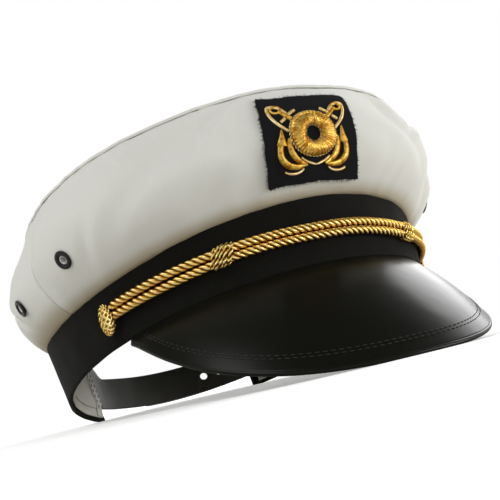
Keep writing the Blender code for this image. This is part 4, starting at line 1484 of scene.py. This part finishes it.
def satin_bar(name, points, widths, relief, across_steps=10):
    """A padded line of satin stitch on the badge, domed across and closed underneath."""
    count = len(points)

    def lay(u, v):
        i = round(u * (count - 1))
        before, after = points[max(i - 1, 0)], points[min(i + 1, count - 1)]
        way = (after - before).normalized()
        side = Vector((-way.y, way.x)) * 0.5 * widths[i]
        roll = 2.0 * math.pi * v
        across, rise = math.cos(roll), math.sin(roll)
        height = SATIN_LOW + (relief * rise if rise > 0.0 else 0.0)
        spot = points[i] + side * across
        return on_badge(spot.x, spot.y + EMBLEM_RISE, height)

    return laid_grid(name, count - 1, 2 * across_steps, lay, closed=True)


def smooth_line(points, steps):
    """A smooth line through a few points, as a list of many."""
    made = []
    for i in range(len(points) - 1):
        p0 = points[max(i - 1, 0)]
        p1, p2 = points[i], points[i + 1]
        p3 = points[min(i + 2, len(points) - 1)]
        for j in range(steps):
            t = j / steps
            made.append(
                0.5
                * (
                    2.0 * p1
                    + (p2 - p0) * t
                    + (2.0 * p0 - 5.0 * p1 + 4.0 * p2 - p3) * t**2
                    + (3.0 * p1 - p0 - 3.0 * p2 + p3) * t**3
                )
            )
    made.append(points[-1])
    return made


def thread_line(places, steps=8):
    """A smooth line through places given in millimetres from the emblem's middle."""
    return smooth_line([Vector(place) * MM for place in places], steps)


def tapered(count, *widths):
    """Widths in millimetres, spread evenly along a line of so many points."""
    made = []
    for i in range(count):
        place = i / (count - 1) * (len(widths) - 1)
        low = min(int(place), len(widths) - 2)
        made.append((widths[low] + (widths[low + 1] - widths[low]) * (place - low)) * MM)
    return made


SATIN = {"pitch": 0.40 * MM, "slant": 0.25}
satin_gold = gold_material(
    "satin_gold", bright=(0.95, 0.66, 0.14), deep=(0.36, 0.12, 0.004), roughness=0.33, **SATIN
)
pale_gold = gold_material(
    "pale_gold", bright=(0.97, 0.83, 0.48), deep=(0.70, 0.46, 0.14), roughness=0.4, **SATIN
)
ring_gold = gold_material(
    "ring_gold", bright=(0.90, 0.64, 0.15), deep=(0.36, 0.115, 0.003), roughness=0.31, **SATIN
)
edge_gold = gold_material(
    "edge_gold",
    bright=(1.0, 0.86, 0.42),
    deep=(0.85, 0.55, 0.12),
    # The hollow colour is painted shade and the crest colour a painted highlight.
    hollow=HOLLOW_SHADE_PAINT,
    crest=(1.0, 0.92, 0.60),
    **SATIN,
)
GOLD_LINES = [
    # places_mm, widths_mm
    ([(-12.8, 9.8), (-10.6, 8.1), (-8.0, 6.1)], (1.5, 2.0)),
    ([(-13.6, 2.4), (-13.9, -0.6), (-14.3, -3.4)], (0.3, 2.6, 4.6)),
    (
        [(-14.2, -2.2), (-15.2, -4.9), (-14.8, -8.4), (-12.4, -11.0), (-8.9, -12.0), (-5.4, -11.6)],
        (2.2, 2.7, 2.9, 2.6, 1.5),
    ),
    ([(-10.8, -1.2), (-11.0, -4.0), (-9.9, -7.3), (-7.6, -9.8), (-4.4, -11.7)], (1.6, 2.6, 2.9, 2.4, 1.5)),
]
PALE_LINES = [
    # places_mm, widths_mm
    (
        [(-9.4, 8.6), (-12.6, 11.7), (-16.6, 12.1), (-16.8, 8.8), (-14.6, 5.0), (-10.6, 1.5)],
        (1.2, 1.5, 1.5, 1.5, 1.2),
    ),
    ([(-12.8, 5.2), (-11.4, 6.0), (-10.6, 6.6)], (1.3, 1.4)),
    ([(-9.0, 7.9), (-7.4, 8.9), (-5.6, 9.8)], (1.3, 1.4)),
    ([(-14.2, -13.4), (-12.3, -14.4), (-9.6, -14.7), (-7.2, -14.1), (-5.8, -13.0)], (0.9, 1.3, 0.9)),
    ([(-6.6, -8.6), (-4.4, -10.2), (-1.8, -11.3), (-0.2, -11.7)], (0.9, 1.2, 0.9)),
]


def anchor_half(lines, mirror, relief):
    """One side's stitched lines, or the same lines mirrored for the other side."""
    bars = []
    for places, widths in lines:
        line = thread_line([(mirror * x, y) for x, y in places])
        bars.append(satin_bar("line", line, tapered(len(line), *widths), relief))
    return bars


head_turns = spread(0.0, 2.0 * math.pi, 25)
gold_parts, pale_parts = [], []
for mirror in (1.0, -1.0):
    gold_parts += anchor_half(GOLD_LINES, mirror, EMBLEM_RELIEF)
    pale_parts += anchor_half(PALE_LINES, mirror, 0.7 * MM)
    head = []
    for turn in head_turns:
        x, y = 2.1 * math.cos(turn) - 13.6, 1.5 * math.sin(turn) + 10.6
        head.append(Vector((mirror * x, y)) * MM)
    gold_parts.append(satin_bar("head", head, [1.0 * MM] * 25, 0.9 * MM))
anchors = join_pieces("badge_anchors_satin", gold_parts)
dress(anchors, "gold_thread", satin_gold, "badge_anchors")
outlines = join_pieces("badge_pale_lines", pale_parts)
dress(outlines, "gold_thread", pale_gold)


def ring_point(u, v):
    """The ring: an oval of satin stitch over padding, each stitch laid from edge to edge."""
    turn = 2.0 * math.pi * u
    roll = 2.0 * math.pi * v
    stitch = 0.11 * MM * math.sin(RING_STITCHES * turn)
    outward_by = math.cos(roll)
    out_x, out_y = (
        0.5 * (outer + inner + (outer - inner) * outward_by)
        for outer, inner in zip(RING_OUTSIDE, RING_INSIDE)
    )
    tooth = 2.0 * stitch * outward_by
    spot = Vector((math.cos(turn) * (out_x + tooth), math.sin(turn) * (out_y + tooth)))
    dome = max(math.sin(roll), 0.0) ** 0.65
    uneven = 0.35 * MM * noise.noise(Vector((spot.x, spot.y, 0.0)) / (4.5 * MM))
    height = (RING_HEIGHT + stitch + uneven) * dome
    return on_badge(spot.x, spot.y + EMBLEM_RISE, SATIN_LOW + 0.1 * MM + height)


def ring_edge(size, inset):
    """A line round the ring's edge, where a thread is couched down over the stitches' ends."""

    def line(share):
        turn = 2.0 * math.pi * share
        x, y = (size[0] + inset) * math.cos(turn), (size[1] + inset) * math.sin(turn)
        return on_badge(x, y + EMBLEM_RISE, SATIN_LOW + RING_EDGE_LIFT)

    return line


ring = laid_grid("badge_ring_satin", 420, 24, ring_point, closed=True)
dress(ring, "gold_thread", ring_gold, "badge_ring")
edges = []
for edge_line in (ring_edge(RING_OUTSIDE, 0.1 * MM), ring_edge(RING_INSIDE, 0.2 * MM)):
    edges.append(
        twisted_rope("edge", edge_line, line_length(edge_line), *RING_EDGE_THREAD, sides=6)
    )
ring_edges = join_pieces("badge_ring_edges", edges)
dress(ring_edges, "gold_thread", edge_gold)

# STRAP
# The strap is two halves of soft black plastic sewn into the band's ends. The pegs moulded
# on one half are pressed through the holes of the other, and three holes are left free.
STRAP_HEIGHT = 18.0 * MM
STRAP_TAB_HEIGHT = 27.0 * MM
STRAP_TAB_LENGTH = 8.0 * MM
STRAP_BASE = 7.0 * MM
STRAP_PLASTIC = 1.2 * MM
STRAP_TUCK = 9.0 * MM
STRAP_CORNER = 7.0 * MM
STRAP_EDGE = 0.25 * MM
PEG_HALF_EASE = 25.0 * MM
HOLE_HALF_LENGTH = 70.0 * MM
PEG_HALF_LENGTH = 72.0 * MM
HOLE_PITCH = 9.5 * MM
HOLE_RADIUS = 2.1 * MM
HOLE_COUNT = 7
FIRST_HOLE = 6.0 * MM
PEG_RADIUS = 1.7 * MM
PEG_COUNT = 6
FREE_HOLES = 3


def angle_at(distance, start, turn):
    """The angle a distance along the band's inner face from a start angle, turning one way."""
    angle = start
    step = 0.25 * DEG * turn
    gone = 0.0
    here = hat_point(angle, -BAND_CLOTH, 0.0)
    while gone < distance:
        angle += step
        before, here = here, hat_point(angle, -BAND_CLOTH, 0.0)
        gone += (here - before).length
    return angle


def strap_half(name, side, length, reach_at):
    """One strap half from inside the band's end to its rounded tip, with soft edges."""
    start = side * BAND_END
    columns = 110
    along = [-STRAP_TUCK + (length + STRAP_TUCK) * i / columns for i in range(columns + 1)]
    angles = []
    for distance in along:
        way = side if distance > 0.0 else -side
        angles.append(angle_at(abs(distance), start, way))
    edge, back = STRAP_EDGE, STRAP_PLASTIC
    outline = [
        # inset, share of the height, distance above it
        (0.0, 0.0, edge),
        (0.0, 0.25, 0.0),
        (0.0, 0.5, 0.0),
        (0.0, 0.75, 0.0),
        (0.0, 1.0, -edge),
        (edge, 1.0, 0.0),
        (back - edge, 1.0, 0.0),
        (back, 1.0, -edge),
        (back, 0.75, 0.0),
        (back, 0.5, 0.0),
        (back, 0.25, 0.0),
        (back, 0.0, edge),
        (back - edge, 0.0, 0.0),
        (edge, 0.0, 0.0),
    ]
    count = len(outline)

    def lay(u, v):
        i = round(u * columns)
        distance = along[i]
        widen = 1.0 - smooth_step(distance / STRAP_TAB_LENGTH)
        into_corner = max(STRAP_CORNER - (length - distance), 0.0)
        cut = STRAP_CORNER - math.sqrt(max(STRAP_CORNER**2 - into_corner**2, 0.0))
        low = STRAP_BASE + cut
        top = STRAP_BASE + STRAP_HEIGHT + (STRAP_TAB_HEIGHT - STRAP_HEIGHT) * widen - cut
        inset, share, above = outline[round(v * count) % count]
        height = low + (top - low) * share + above
        return hat_point(angles[i], reach_at(distance) - inset + band_reach(BAND_END, height), height)

    return laid_grid(name, columns, count, lay, closed=True)


strap_layer = -BAND_CLOTH - GAP
strap_under = strap_layer - STRAP_PLASTIC - GAP


def peg_half_reach(distance):
    return strap_layer + (strap_under - strap_layer) * smooth_step(distance / PEG_HALF_EASE)


hole_half = strap_half("strap_hole_plastic", 1.0, HOLE_HALF_LENGTH, lambda distance: strap_layer)
peg_half = strap_half("strap_peg_plastic", -1.0, PEG_HALF_LENGTH, peg_half_reach)
strap_middle = STRAP_BASE + 0.5 * STRAP_HEIGHT
strap_lean = band_reach(BAND_END, strap_middle)
for number in range(HOLE_COUNT):
    angle = angle_at(FIRST_HOLE + HOLE_PITCH * number, BAND_END, 1.0)
    centre = hat_point(angle, strap_layer + strap_lean - 0.5 * STRAP_PLASTIC, strap_middle)
    punch_hole(hole_half, centre, outward(angle), HOLE_RADIUS, 5.0 * MM)

PEG_PROFILE = [
    # radius_mm, height_mm
    (0.02, -0.5),
    (1.6, -0.5),
    (1.7, 0.6),
    (1.55, 1.9),
    (1.7, 2.15),
    (1.6, 2.45),
    (1.1, 2.6),
    (0.02, 2.62),
]
pegs = []
for number in range(FREE_HOLES, FREE_HOLES + PEG_COUNT):
    angle = angle_at(FIRST_HOLE + HOLE_PITCH * number, BAND_END, 1.0)
    foot = strap_under + strap_lean - 0.5 * STRAP_PLASTIC
    centre = hat_point(angle, foot, strap_middle)
    pegs.append(turned("peg", PEG_PROFILE, centre, outward(angle), 20))
peg_half = join_pieces("strap_peg_plastic", [peg_half, *pegs])

strap_plastic, tree, shader = new_material("strap_plastic", 0.42)
grain = noise_value(tree, place_in(tree), 1100.0, 3.0)
scuff = noise_value(tree, place_in(tree), 120.0, 5.0)
colour = mix_colours(tree, scuff, (0.017, 0.017, 0.013), (0.034, 0.033, 0.027))
gloss = map_value(tree, scuff, 0.0, 1.0, 0.34, 0.52)
tree.links.new(gloss, shader.inputs["Roughness"])
finish_material(tree, shader, colour, grain, 0.03 * MM, 0.6)
for half in (hole_half, peg_half):
    use_modifier(half, "BEVEL", width=0.12 * MM, segments=2, limit_method="ANGLE", angle_limit=0.9)
    bpy.ops.object.shade_smooth_by_angle(angle=0.7)
dress(hole_half, "strap_plastic", strap_plastic, "strap_hole_half")
dress(peg_half, "strap_plastic", strap_plastic, "strap_peg_half")
